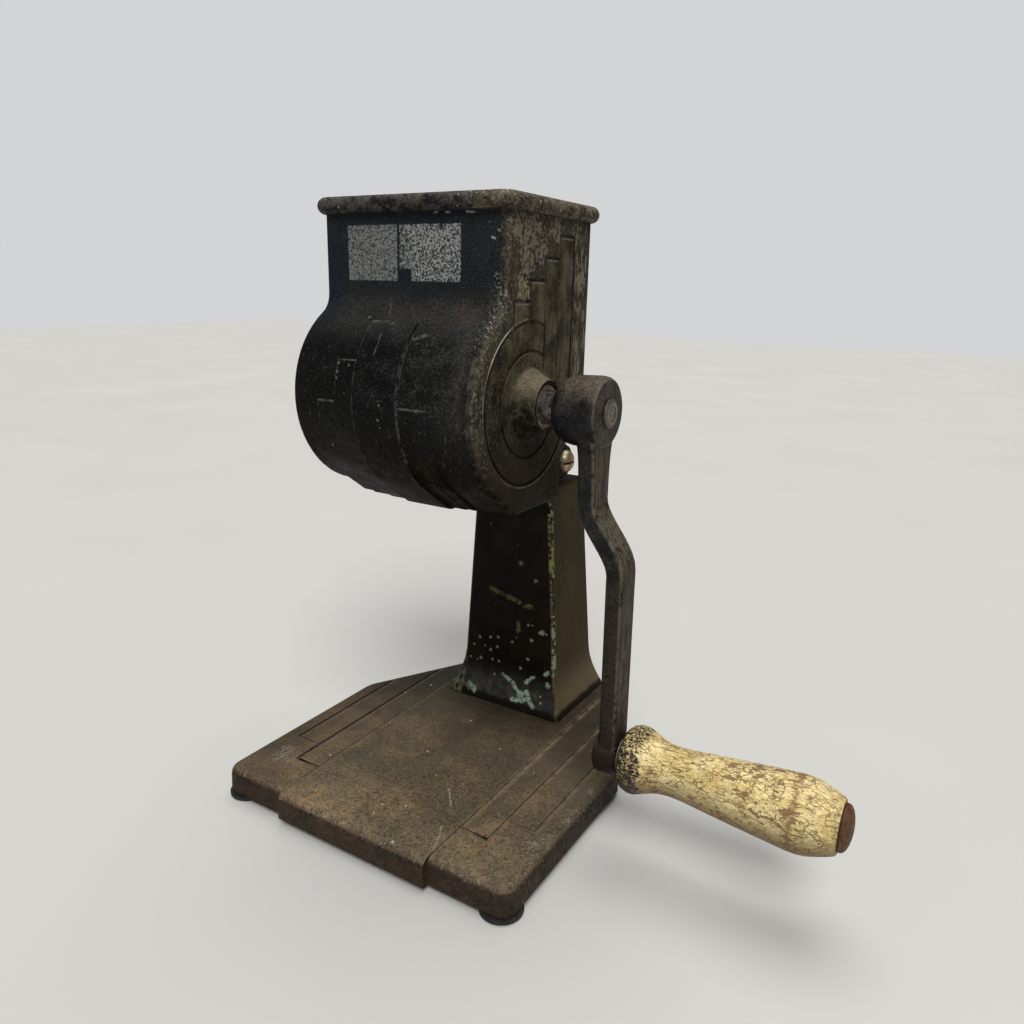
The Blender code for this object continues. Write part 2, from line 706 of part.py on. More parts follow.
def breaker_plate(surface):
    """Fixed toothed plate behind the drum; its top is the chute that feeds the nip."""
    inner = []
    ridges = 11
    for i in range(ridges * 2 + 1):
        angle = math.radians(-38 + 66 * i / (ridges * 2))
        radius = BREAKER_RADIUS + (0.0014 if i % 2 else 0.0)
        inner.append((radius * math.cos(angle), radius * math.sin(angle)))
    rear = HOPPER_REAR - HOPPER_WALL - GAP
    outline = inner + [(rear - 0.0015, 0.040), (rear, 0.040), (rear, 0.014)]
    outline += arc((0, 0), DRUM_BORE - 0.0004, 7.9, -38, 6)
    right = INNER_X - GAP - 0.0005
    plate = add_object("breaker_plate", prism_x(at_axis(outline), LEFT_WALL_INNER + GAP, right), surface)
    holes = []
    for x in (-BREAKER_SCREW_X, BREAKER_SCREW_X):
        hole = rod(AXIS_Y + 0.0402, 0.030, 0.0023, 16)
        holes.append(moved(hole, (x, 0, AXIS_Z + BREAKER_SCREW_RISE), REARWARD))
    combine(plate, "breaker_screw_holes", joined(holes))
    return plate


def tooth_outline(turn):
    """Saw teeth round the grinding drum: steep leading faces, sloping backs."""
    points = []
    pitch = math.tau / ROTOR_TEETH
    for i in range(ROTOR_TEETH):
        start = turn + i * pitch
        for share, radius in ((0.0, ROTOR_ROOT), (0.06, ROTOR_RADIUS), (0.24, ROTOR_RADIUS)):
            angle = start + share * pitch
            points.append((radius * math.cos(angle), radius * math.sin(angle)))
    return points


def grinding_drum(surface, parent):
    width = (ROTOR_RIGHT - ROTOR_LEFT - (ROTOR_DISCS - 1) * ROTOR_GROOVE) / ROTOR_DISCS
    core = tube(ROTOR_LEFT + 0.0005, ROTOR_RIGHT - 0.0005, ROTOR_CORE, SHAFT_RADIUS + GAP, 32)
    drum = add_object("grinding_drum", core, surface, parent)
    discs = []
    for i in range(ROTOR_DISCS):
        x = ROTOR_LEFT + i * (width + ROTOR_GROOVE)
        turn = math.tau / ROTOR_TEETH * i / ROTOR_DISCS
        discs.append(prism_x(tooth_outline(turn), x, x + width))
    for disc in discs:
        bmesh.ops.recalc_face_normals(disc, faces=disc.faces)
    combine(drum, "toothed_discs", joined(discs), "UNION")
    combine(drum, "drum_shaft_bore", rod(-0.06, 0.06, SHAFT_RADIUS + GAP, 32))
    combine(drum, "drum_pin_hole", moved(rod(-0.03, 0.03, PIN_RADIUS + GAP, 16), (-0.00015, 0, 0), UPRIGHT))
    return drum


def drive_shaft(surface, parent):
    end = HUB_OUTER + GAP
    profile = ((SHAFT_LEFT, SHAFT_RADIUS - 0.0008), (SHAFT_LEFT + 0.0008, SHAFT_RADIUS),
               (HUB_INNER - GAP, SHAFT_RADIUS), (HUB_INNER - GAP, HUB_SQUARE), (end, HUB_SQUARE),
               (end, 0.0058), (end + 0.0005, 0.0058), (end + 0.0012, 0.0050), (end + 0.0012, 0.0034),
               (end + 0.0009, 0.0030), (end + 0.0009, 0.0010))
    shaft = add_object("drive_shaft", turned(profile, 32), surface, parent)
    half = HUB_SQUARE
    square = box((HUB_INNER - 0.001, -half, -half), (HUB_SQUARE_END, half, half))
    combine(shaft, "shaft_square", square, "UNION")
    pin_hole = moved(rod(-0.03, 0.03, PIN_RADIUS + GAP, 16), (-0.00015, 0, 0), UPRIGHT)
    combine(shaft, "shaft_pin_hole", pin_hole)
    return shaft


def drum_pin(surface, parent):
    pin = rod(-ROTOR_CORE + 0.0003, ROTOR_CORE - 0.0003, PIN_RADIUS, 16)
    return add_object("drum_pin", moved(pin, (-0.00015, 0, 0), UPRIGHT), surface, parent)


def bush(name, x0, x1, surface):
    inner = (SHAFT_RADIUS + 0.00008) / math.cos(math.pi / 32)
    return add_object(name, moved(tube(x0, x1, BUSH_RADIUS, inner), (0, AXIS_Y, AXIS_Z)), surface)


def thrust_washer(name, x0, surface):
    ring = tube(x0, x0 + 0.001, 0.012, SHAFT_RADIUS + 0.0005)
    return add_object(name, moved(ring, (0, AXIS_Y, AXIS_Z)), surface)


# ---------------------------------------------------------------- crank and grip


def arm_station(drop):
    """(x, half width) of the arm at a distance below the shaft."""
    share = min(1.0, max(0.0, (drop - BEND_START) / (BEND_END - BEND_START)))
    smooth = share * share * (3 - 2 * share)
    x = ARM_TOP_X + (ARM_LOW_X - ARM_TOP_X) * smooth
    widen = 0.0034 * math.exp(-max(0.0, drop - 0.010) / 0.006)
    return x, ARM_WIDTH / 2 + widen


def arm_sweep():
    drops = [0.004, 0.010, 0.013, 0.016, 0.019, 0.023, 0.029]
    drops += [BEND_START + (BEND_END - BEND_START) * i / 10 for i in range(11)]
    drops += [0.085, 0.110, CRANK_THROW]
    rings = []
    for drop in drops:
        x, half = arm_station(drop)
        ahead = arm_station(drop + 0.0005)[0] - arm_station(drop - 0.0005)[0]
        lean = math.atan2(ahead, 0.001)
        thick = ARM_THICKNESS / 2
        corners = ((thick, half, 0.0022), (-thick, half, 0.0022), (-thick, -half, 0.0022), (thick, -half, 0.0022))
        ring = []
        for across, side in rounded(corners, 30):
            ring.append((x + across * math.cos(lean), side, -drop + across * math.sin(lean)))
        rings.append(ring)
    return loft(rings)


def crank_arm(surface, parent):
    hub = ((HUB_INNER, 0.0062), (0.0614, 0.0082), (0.0625, 0.0104), (0.0643, 0.0124), (0.0668, 0.0136),
           (0.0700, 0.0141), (0.0790, 0.0144), (0.0810, 0.0141), (0.0822, 0.0134), (HUB_OUTER, 0.0124))
    arm = add_object("crank_arm", turned(hub, 40), surface, parent)
    combine(arm, "arm_bar", arm_sweep(), "UNION")
    eye = ((EYE_INNER, EYE_RADIUS - 0.0012), (EYE_INNER + 0.0012, EYE_RADIUS),
           (EYE_OUTER - 0.0015, EYE_RADIUS), (EYE_OUTER, EYE_RADIUS - 0.0015))
    combine(arm, "arm_eye", moved(turned(eye, 36), (0, 0, -CRANK_THROW)), "UNION")
    half = HUB_SQUARE + GAP
    combine(arm, "hub_square_hole", box((0.055, -half, -half), (HUB_SQUARE_END + GAP, half, half)))
    combine(arm, "hub_round_hole", rod(0.070, 0.090, half, 24))
    hole = rod(0.080, 0.100, SPINDLE_RADIUS + GAP, 24)
    combine(arm, "eye_hole", moved(hole, (0, 0, -CRANK_THROW)))
    return arm


def handle_spindle(surface, parent):
    profile = ((0.0839, 0.0030), (0.0839, 0.0046), (0.0846, 0.0054), (EYE_INNER - GAP, 0.0054),
               (EYE_INNER - GAP, SPINDLE_RADIUS), (0.1802, SPINDLE_RADIUS), (0.1802, 0.0056),
               (0.1828, 0.0056), (0.1837, 0.0046), (0.1837, 0.0010))
    return add_object("handle_spindle", turned(profile, 28), surface, parent)


def grip_profile():
    """(x, radius) down the outside of the grip, as a smooth curve through its main points."""
    knots = ((0.0975, 0.0100), (0.0982, 0.0122), (0.1000, 0.0138), (0.1026, 0.0147), (0.1054, 0.0145),
             (0.1085, 0.0133), (0.1125, 0.0117), (0.1165, 0.0107), (0.1205, 0.0104), (0.1260, 0.0107),
             (0.1340, 0.0116), (0.1430, 0.0126), (0.1530, 0.0136), (0.1620, 0.0145), (0.1685, 0.0151),
             (0.1722, 0.0152), (0.1757, 0.0148), (0.1802, 0.0135), (0.1842, 0.0120), (0.1861, 0.0111),
             (GRIP_END, 0.0104))
    return knots


def wooden_grip(surface, parent):
    profile = list(grip_profile())
    profile += [(GRIP_END, 0.0070), (0.1797, 0.0070), (0.1797, GRIP_BORE), (GRIP_START, GRIP_BORE)]
    return add_object("wooden_grip", turned(profile, 40, hollow=True), surface, parent)


def grip_end_cap(surface, parent):
    face = GRIP_END + GAP
    rise = CAP_TIP - face - 0.0008
    profile = [(0.1845, 0.0064), (0.1848, 0.0067), (face, 0.0067), (face, CAP_RADIUS)]
    for degrees in (0, 18, 36, 54, 70, 83):
        angle = math.radians(degrees)
        profile.append((face + 0.0008 + rise * math.sin(angle), CAP_RADIUS * math.cos(angle)))
    return add_object("grip_end_cap", turned(profile, 36), surface, parent)


def hexagon(x0, x1, across, bore):
    """A hexagonal nut along X."""
    outline = []
    for i in range(6):
        angle = math.radians(30 + 60 * i)
        outline.append((across / 2 / math.cos(math.pi / 6) * math.cos(angle),
                        across / 2 / math.cos(math.pi / 6) * math.sin(angle)))
    return prism_x(outline, x0, x1), rod(x0 - 0.005, x1 + 0.005, bore, 24)


def main():
    clear_scene()
    rusty_iron = finish("rusty_base_iron", (0.115, 0.085, 0.062), 0.72, 0.35)
    olive_paint = finish("olive_black_paint", (0.035, 0.030, 0.018), 0.5, 0.0)
    black_paint = finish("black_housing_paint", (0.022, 0.022, 0.024), 0.45, 0.1)
    dark_steel = finish("dark_worn_steel", (0.075, 0.068, 0.060), 0.45, 0.8)
    bright_steel = finish("plain_steel", (0.42, 0.40, 0.37), 0.35, 1.0)
    brass = finish("dull_brass", (0.50, 0.40, 0.24), 0.35, 1.0)
    bronze = finish("bush_bronze", (0.32, 0.19, 0.10), 0.45, 0.9)
    rubber = finish("black_rubber", (0.012, 0.012, 0.012), 0.8, 0.0)
    cream = finish("cream_painted_wood", (0.62, 0.54, 0.34), 0.55, 0.0)
    brown = finish("dark_brown_cap", (0.085, 0.048, 0.030), 0.45, 0.0)

    base_plate(rusty_iron)
    for place, (x, y) in FOOT_PLACES.items():
        foot("rubber_foot_" + place, x, y, rubber)
    pedestal(olive_paint)
    head_seat = BASE_SIDE_TOP - BASE_SKIN - GAP
    downward = Matrix.Rotation(math.pi / 2, 4, "Y")
    for i, (place, (x, y)) in enumerate(PEDESTAL_SCREWS.items()):
        slotted_screw("pedestal_screw_" + place, bright_steel, (x, y, head_seat), downward,
                      0.0038, 0.002, 0.0200, 0.4 + 0.7 * i)

    grinder_housing(black_paint)
    end_cover(black_paint)
    leftward = Matrix.Rotation(math.pi, 4, "Z")
    for i, (a, b) in enumerate(cover_screw_places()):
        slotted_screw("cover_screw_%d" % (i + 1), bright_steel,
                      (-HALF_LENGTH - GAP, AXIS_Y + a, AXIS_Z + b), leftward, 0.0034, 0.0016, 0.0068, 0.9 * i)
    slotted_screw("clamp_bolt", brass, (EAR_OUTER + GAP, CLAMP_Y, CLAMP_Z), None,
                  0.0061, BOLT_RADIUS, 0.0475, math.radians(4), 32)
    washer = moved(tube(-EAR_OUTER - GAP - 0.001, -EAR_OUTER - GAP, 0.0065, BOLT_RADIUS + GAP, 24),
                   (0, CLAMP_Y, CLAMP_Z))
    add_object("clamp_washer", washer, bright_steel)
    nut_face = -EAR_OUTER - 2 * GAP - 0.001
    nut, nut_bore = hexagon(nut_face - 0.005, nut_face, 0.011, BOLT_RADIUS + GAP)
    clamp_nut = add_object("clamp_nut", moved(nut, (0, CLAMP_Y, CLAMP_Z)), bright_steel)
    combine(clamp_nut, "clamp_nut_bore", moved(nut_bore, (0, CLAMP_Y, CLAMP_Z)))

    breaker_plate(dark_steel)
    for name, x in (("breaker_screw_left", -BREAKER_SCREW_X), ("breaker_screw_right", BREAKER_SCREW_X)):
        slotted_screw(name, bright_steel, (x, AXIS_Y + HOPPER_REAR + GAP, AXIS_Z + BREAKER_SCREW_RISE),
                      REARWARD, 0.0040, 0.0020, 0.0120, 0.3 if x < 0 else 1.1)
    bush("left_bush", -0.0532, COVER_INNER - 0.0001, bronze)
    bush("right_bush", 0.0428, BOSS_MOUTH - 0.0008, bronze)
    thrust_washer("left_thrust_washer", -0.0425, bright_steel)
    thrust_washer("right_thrust_washer", 0.0412, bright_steel)

    crank_axis = bpy.data.objects.new("crank_axis", None)
    crank_axis.location = (0, AXIS_Y, AXIS_Z)
    crank_axis.rotation_euler = (CRANK_LEAN, 0, 0)
    bpy.context.scene.collection.objects.link(crank_axis)
    grip_axis = bpy.data.objects.new("grip_axis", None)
    grip_axis.parent = crank_axis
    grip_axis.location = (0, 0, -CRANK_THROW)
    bpy.context.scene.collection.objects.link(grip_axis)

    drive_shaft(bright_steel, crank_axis)
    grinding_drum(dark_steel, crank_axis)
    drum_pin(bright_steel, crank_axis)
    crank_arm(dark_steel, crank_axis)
    handle_spindle(bright_steel, grip_axis)
    add_object("grip_washer", tube(EYE_OUTER + GAP, EYE_OUTER + GAP + 0.001, 0.008, SPINDLE_RADIUS + GAP, 28),
               bright_steel, grip_axis)
    wooden_grip(cream, grip_axis)
    grip_end_cap(brown, grip_axis)


main()
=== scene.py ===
import functools
import json
import math

import bmesh
import bpy
from mathutils import Matrix, Vector


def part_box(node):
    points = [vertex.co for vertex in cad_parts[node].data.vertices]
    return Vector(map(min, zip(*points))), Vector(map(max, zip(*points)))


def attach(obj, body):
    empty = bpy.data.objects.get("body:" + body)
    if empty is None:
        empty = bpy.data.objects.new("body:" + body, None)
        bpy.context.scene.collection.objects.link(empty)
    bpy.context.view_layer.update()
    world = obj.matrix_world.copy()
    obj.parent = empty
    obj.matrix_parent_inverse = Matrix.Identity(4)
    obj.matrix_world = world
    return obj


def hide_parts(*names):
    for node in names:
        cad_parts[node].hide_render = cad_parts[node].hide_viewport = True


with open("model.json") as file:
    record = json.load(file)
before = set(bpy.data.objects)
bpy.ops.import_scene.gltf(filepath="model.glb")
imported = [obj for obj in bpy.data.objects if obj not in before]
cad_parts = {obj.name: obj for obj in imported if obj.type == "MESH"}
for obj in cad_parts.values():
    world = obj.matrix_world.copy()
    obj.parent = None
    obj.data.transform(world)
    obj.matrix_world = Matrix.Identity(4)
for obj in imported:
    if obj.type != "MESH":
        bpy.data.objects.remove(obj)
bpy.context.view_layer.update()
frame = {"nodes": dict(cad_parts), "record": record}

# Degrees and metres, in the part's own frame. The image is taken to be 1024 x 1024.
CAMERA_AZIMUTH = 31.102
CAMERA_ELEVATION = 15.333
CAMERA_ROLL = 1.427
CAMERA_TARGET = (0.04355, -0.03302, 0.14832)
CAMERA_DISTANCE = 0.34335
CAMERA_FOCAL_PX = 812.32
CAMERA_NEAREST = 0.01
IMAGE_PX = 1024
SENSOR_MM = 36.0

# Each light: name, where it shines from, how wide it is in degrees, strength
LIGHTS = [("key_front", (0.46, -0.64, 1.05), 28.0, 2.55), ("top_soft", (-0.05, 0.25, 1.15), 45.0, 1.75)]
LIGHT_TARGET = (0.03, 0.0, 0.1)
LIGHT_COLOUR = (1.0, 0.985, 0.96)
WORLD_COLOUR = (0.93, 0.94, 0.95, 1)
WORLD_LIGHT, WORLD_SEEN = 0.16, 0.7
FLOOR_HALF = 4.0

# How the CAD meshes are cleaned: metres and degrees
WELD = 2e-6
FLAT_ANGLE = 0.3
SHARP_ANGLE = 34.0
NORMAL_WEIGHT = 80
BEVEL_SAMPLES = 4

MM = 0.001
# Radii in millimetres at which lengths round the drum and round the grip are measured
DRUM_WALL = 43.0
GRIP_WALL = 13.0


def axis_of(joint):
    """The (y, z) of a joint's axis, in millimetres: both joints turn about X."""
    row = next(row for row in frame["record"]["behaviour"]["joints"] if row["name"] == joint)
    return [round(value / MM, 1) for value in row["pos_m"][1:]]


AXIS_Y, AXIS_Z = axis_of("crank_turn")
GRIP_Y, GRIP_Z = axis_of("grip_spin")


# ---------------------------------------------------------------- node helpers


class Shade:
    """Builds one procedural material. Positions are in millimetres in the part's own frame."""

    def __init__(self, name):
        self.mat = bpy.data.materials.new(name)
        self.mat.use_nodes = True
        self.tree = self.mat.node_tree
        self.tree.nodes.clear()
        coords = self.new("TexCoord")
        self.p = self.vector("SCALE", coords.outputs["Object"], 1 / MM)
        self.x, self.y, self.z = self.parts(self.p)
        self.nx, self.ny, self.nz = self.parts(coords.outputs["Normal"])

    def new(self, kind):
        return self.tree.nodes.new("ShaderNode" + kind)

    def put(self, socket, value):
        """Links a socket to another one, or sets it to a number or colour."""
        if isinstance(value, bpy.types.NodeSocket):
            self.tree.links.new(value, socket)
            return
        if isinstance(value, tuple) and len(value) == 3 and socket.type == "RGBA":
            value = (*value, 1.0)
        socket.default_value = value

    def math(self, op, a, b=0.0, clamp=False):
        n = self.new("Math")
        n.operation = op
        n.use_clamp = clamp
        self.put(n.inputs[0], a)
        self.put(n.inputs[1], b)
        return n.outputs[0]

    def vector(self, op, a, b):
        """A vector operation on a, whose other side is b."""
        n = self.new("VectorMath")
        n.operation = op
        self.put(n.inputs[0], a)
        self.put(n.inputs["Scale" if op == "SCALE" else 1], b)
        return n.outputs["Value" if op in ("DISTANCE", "DOT_PRODUCT") else "Vector"]

    def add(self, *values):
        return functools.reduce(lambda a, b: self.math("ADD", a, b), values)

    def mul(self, *values):
        return functools.reduce(lambda a, b: self.math("MULTIPLY", a, b), values)

    def top(self, *values):
        """The largest of the values."""
        return functools.reduce(lambda a, b: self.math("MAXIMUM", a, b), values)

    def sub(self, a, b):
        return self.math("SUBTRACT", a, b)

    def inv(self, a):
        return self.sub(1.0, a)

    def ramp(self, value, low, high, out_low=0.0, out_high=1.0):
        """Goes smoothly from out_low, where the value is low, to out_high, where it is high."""
        n = self.new("MapRange")
        n.interpolation_type = "SMOOTHSTEP"
        if isinstance(low, (int, float)) and isinstance(high, (int, float)) and low > high:
            low, high, out_low, out_high = high, low, out_high, out_low
        for i, v in enumerate((value, low, high, out_low, out_high)):
            self.put(n.inputs[i], v)
        return n.outputs[0]

    def band(self, value, low, high, soft=0.5):
        """1 between low and high, and 0 outside."""
        return self.mul(self.ramp(value, low - soft, low + soft), self.ramp(value, high + soft, high - soft))

    def near(self, value, centre, half, soft=0.4):
        """1 within half of the centre, and 0 beyond."""
        off = self.math("ABSOLUTE", self.sub(value, centre))
        return self.ramp(off, half + soft, max(half - soft, 0.0))

    def vec(self, x, y, z):
        n = self.new("CombineXYZ")
        for i, v in enumerate((x, y, z)):
            self.put(n.inputs[i], v)
        return n.outputs[0]

    def stretched(self, sx, sy, sz):
        return self.vector("MULTIPLY", self.p, (sx, sy, sz))

    def moved(self, dx, dy, dz, where=None):
        return self.vector("ADD", where or self.p, (dx, dy, dz))

    def warped(self, amount, size, seed=0.0, where=None):
        """Coordinates pushed about by up to this amount, by noise of this size."""
        n = self.new("TexNoise")
        self.put(n.inputs["Vector"], self.moved(seed, seed * 0.7, -seed, where))
        n.inputs["Scale"].default_value = 1.0 / size
        n.inputs["Detail"].default_value = 2.0
        push = self.vector("SUBTRACT", n.outputs["Color"], (0.5, 0.5, 0.5))
        return self.vector("ADD", where or self.p, self.vector("SCALE", push, amount * 2.0))

    def noise(self, size, detail=3.0, rough=0.55, seed=0.0, where=None):
        n = self.new("TexNoise")
        base = where or self.p
        self.put(n.inputs["Vector"], self.moved(seed * 13.7, seed * 7.1, seed * 3.3, base) if seed else base)
        n.inputs["Scale"].default_value = 1.0 / size
        n.inputs["Detail"].default_value = detail
        n.inputs["Roughness"].default_value = rough
        return n.outputs[0]

    def patches(self, low, high, *noise):
        """1 where this noise is over high, and 0 where it is under low."""
        return self.ramp(self.noise(*noise), low, high)

    def wobble(self, amount, *noise):
        """A noise centred on zero."""
        return self.mul(self.sub(self.noise(*noise), 0.5), amount)

    def cell_edges(self, size, where):
        """Distance to the nearest edge of a pattern of cells, in cells."""
        n = self.new("TexVoronoi")
        n.feature = "DISTANCE_TO_EDGE"
        self.put(n.inputs["Vector"], where)
        n.inputs["Scale"].default_value = 1.0 / size
        return n.outputs["Distance"]

    def dots(self, places, radius, where, soft=0.6):
        """Round marks, each a place and a size: (x, y, size) in the plane of where, or (x, y, z, size)."""
        marks = []
        for *place, size in places:
            gap = self.vector("DISTANCE", where, (*place, 0.0)[:3])
            marks.append(self.ramp(gap, radius * size * (1 + soft), radius * size * (1 - soft)))
        return self.top(*marks)

    def strokes(self, where, lines, half, soft=0.35):
        """Painted or scratched lines: each a row of points in the plane of the given coordinates."""
        marks = []
        for line in lines:
            for (ax, ay), (bx, by) in zip(line, line[1:]):
                run = (bx - ax, by - ay, 0.0)
                off = self.moved(-ax, -ay, 0.0, where)
                per_length = 1.0 / (run[0] ** 2 + run[1] ** 2)
                along = self.math("MULTIPLY", self.vector("DOT_PRODUCT", off, run), per_length, clamp=True)
                gap = self.vector("DISTANCE", off, self.vector("SCALE", run, along))
                marks.append(self.ramp(gap, half + soft, max(half - soft, 0.0)))
        return self.top(*marks)

    def from_shaft(self):
        """(y, z, radius) from the shaft's axis."""
        ry, rz = self.sub(self.y, AXIS_Y), self.sub(self.z, AXIS_Z)
        return ry, rz, self.math("SQRT", self.add(self.mul(ry, ry), self.mul(rz, rz)))

    def parts(self, vector):
        """The vector's x, y and z."""
        n = self.new("SeparateXYZ")
        self.put(n.inputs[0], vector)
        return n.outputs

    def mix(self, factor, a, b):
        # Sockets by number, because a mix node's sockets share their names
        n = self.new("Mix")
        n.data_type = "RGBA"
        self.put(n.inputs[0], factor)
        self.put(n.inputs[6], a)
        self.put(n.inputs[7], b)
        return n.outputs[2]

    def blend(self, factor, a, b):
        n = self.new("Mix")
        n.data_type = "FLOAT"
        self.put(n.inputs[0], factor)
        self.put(n.inputs[2], a)
        self.put(n.inputs[3], b)
        return n.outputs[0]

    def over(self, colour, tone, *masks):
        """The colour with a tone laid over it, as far as all the masks let it through."""
        return self.mix(self.mul(*masks), colour, tone)

    def bright(self, colour, factor):
        return self.vector("SCALE", colour, factor)

    def grained(self, colour, noise, dark, pale):
        """The colour, made darker and paler by a noise."""
        return self.bright(colour, self.ramp(noise, 0.3, 0.7, dark, pale))

    def finish(self, colour, rough, metal=0.0, height=None, depth=0.1, edge=0.35, spec=0.5):
        """The shader: depth and edge are the relief's height and the edges' rounding, in millimetres."""
        shader = self.new("BsdfPrincipled")
        out = self.new("OutputMaterial")
        self.tree.links.new(shader.outputs[0], out.inputs[0])
        self.put(shader.inputs["Base Color"], colour)
        self.put(shader.inputs["Roughness"], rough)
        self.put(shader.inputs["Metallic"], metal)
        shader.inputs["Specular IOR Level"].default_value = spec
        normal = None
        if edge:
            bevel = self.new("Bevel")
            bevel.samples = BEVEL_SAMPLES
            bevel.inputs["Radius"].default_value = edge * MM
            normal = bevel.outputs[0]
        if height is not None:
            bump = self.new("Bump")
            bump.inputs["Strength"].default_value = 1.0
            bump.inputs["Distance"].default_value = depth * MM
            self.put(bump.inputs["Height"], height)
            if normal is not None:
                self.put(bump.inputs["Normal"], normal)
            normal = bump.outputs[0]
        if normal is not None:
            self.put(shader.inputs["Normal"], normal)
        return self.mat


# ---------------------------------------------------------------- materials


def measure_housing(s):
    """Adds the housing's own coordinates, zones and shared noises to its shade."""
    s.ry, s.rz, s.radius = s.from_shaft()
    s.turn = s.math("ARCTAN2", s.rz, s.mul(s.ry, -1))
    s.arc = s.mul(s.turn, DRUM_WALL)
    s.wrapped = s.vec(s.x, s.arc, 0)
    s.flat = s.vec(s.y, s.z, 0)
    s.right = s.mul(s.ramp(s.nx, 0.55, 0.85), s.ramp(s.x, 43, 45))
    s.neck = s.ramp(s.z, 214, 232)
    s.on_drum = s.mul(s.ramp(s.radius, 40.9, 41.4), s.ramp(s.radius, 50, 47), s.ramp(s.x, 45.5, 44.5))
    s.on_front = s.mul(s.ramp(s.ny, -0.7, -0.9), s.ramp(s.y, -45, -45.6))
    s.fine = s.noise(0.9, 3, 0.65)
    s.patchy = s.noise(14, 4, 0.6, 1)
    s.broken = s.patches(0.4, 0.54, 2.2, 3, 0.65, 14)


def hopper_paint(s):
    """Blue-black on the hopper, neutral black on the drum, dusty where the two meet."""
    cool = s.mix(s.neck, (0.0042, 0.0043, 0.0047), (0.0115, 0.0138, 0.0195))
    cool = s.mix(s.ramp(s.x, 10, 44, 0, 0.7), cool, (0.015, 0.015, 0.015))
    paint = s.mix(s.ramp(s.patchy, 0.42, 0.66, 0, 0.7), cool,
                  s.mix(s.neck, (0.0072, 0.007, 0.0066), (0.019, 0.0202, 0.0225)))
    saddle = s.mul(s.band(s.z, 222, 236, 6), s.ramp(s.x, -46, -20),
                   s.ramp(s.noise(12, 4, 0.6, 3), 0.3, 0.6, 0.35, 1))
    paint = s.over(paint, (0.033, 0.0315, 0.027), saddle, 0.8)
    tan = s.dots([(33, -53, 228, 1), (28, -50, 231, 0.7)], 5.5, s.warped(3, 5, 4), 0.6)
    paint = s.over(paint, (0.07, 0.054, 0.039), tan, 0.35)
    paint = s.grained(paint, s.fine, 0.45, 1.55)
    return paint


def pale_bloom(s, paint):
    """A pale speckled bloom, thickest towards the right end of the drum."""
    grit = s.noise(0.62, 2.5, 0.65, 5)
    thick = s.mul(s.patches(0.36, 0.62, 8, 3, 0.6, 6), s.band(s.arc, -6, 36, 9))
    thick = s.mul(thick, s.ramp(s.x, -34, 34, 0.3, 1))
    column = s.mul(s.near(s.x, 38.5, 3, 2.5), s.band(s.arc, -12, 34, 6),
                   s.ramp(s.noise(5, 3, 0.6, 7), 0.35, 0.6, 0.3, 1))
    high = s.mul(s.neck, s.ramp(s.x, 14, 40), s.patches(0.4, 0.64, 7, 3, 0.65, 8))
    thick = s.top(thick, column, s.mul(high, 0.8), 0.12)
    s.grains = s.ramp(s.add(grit, s.mul(thick, 0.115)), 0.65, 0.69)
    paint = s.over(paint, (0.105, 0.108, 0.102), s.grains, 0.42)
    haze = s.mul(s.ramp(thick, 0.2, 1), 0.24)
    paint = s.over(paint, (0.036, 0.037, 0.037), haze, s.on_drum, s.patches(0.36, 0.62, 1.7, 3, 0.7, 36))
    paint = s.over(paint, (0.065, 0.062, 0.051), column, s.patches(0.46, 0.58, 1.3, 3, 0.7, 9), 0.55)
    bright_grains = s.ramp(s.add(s.noise(1.1, 2, 0.6, 10), s.mul(thick, 0.03)), 0.745, 0.77)
    paint = s.over(paint, (0.3, 0.3, 0.27), bright_grains, 0.7)
    return paint


def brown_underside(s, paint):
    """The drum's underside is dark brown, rust with painted shade and a warm reflected tint, with paler
    chips.
    """
    # Painted shade with a warm reflected tint, and rust: the underside is dark brown.
    under = s.mul(s.ramp(s.arc, -8, -30), s.ramp(s.z, 200, 190))
    brown = s.mix(s.patches(0.35, 0.65, 9, 4, 0.6, 11), (0.0022, 0.0013, 0.0005), (0.0085, 0.0046, 0.0017))
    paint = s.mix(under, paint, brown)
    low_chips = s.mul(s.patches(0.635, 0.685, 2.4, 3, 0.65, 12), s.ramp(s.arc, -6, -18),
                      s.ramp(s.z, 200, 190))
    paint = s.over(paint, (0.06, 0.042, 0.024), low_chips, 0.5)
    return paint


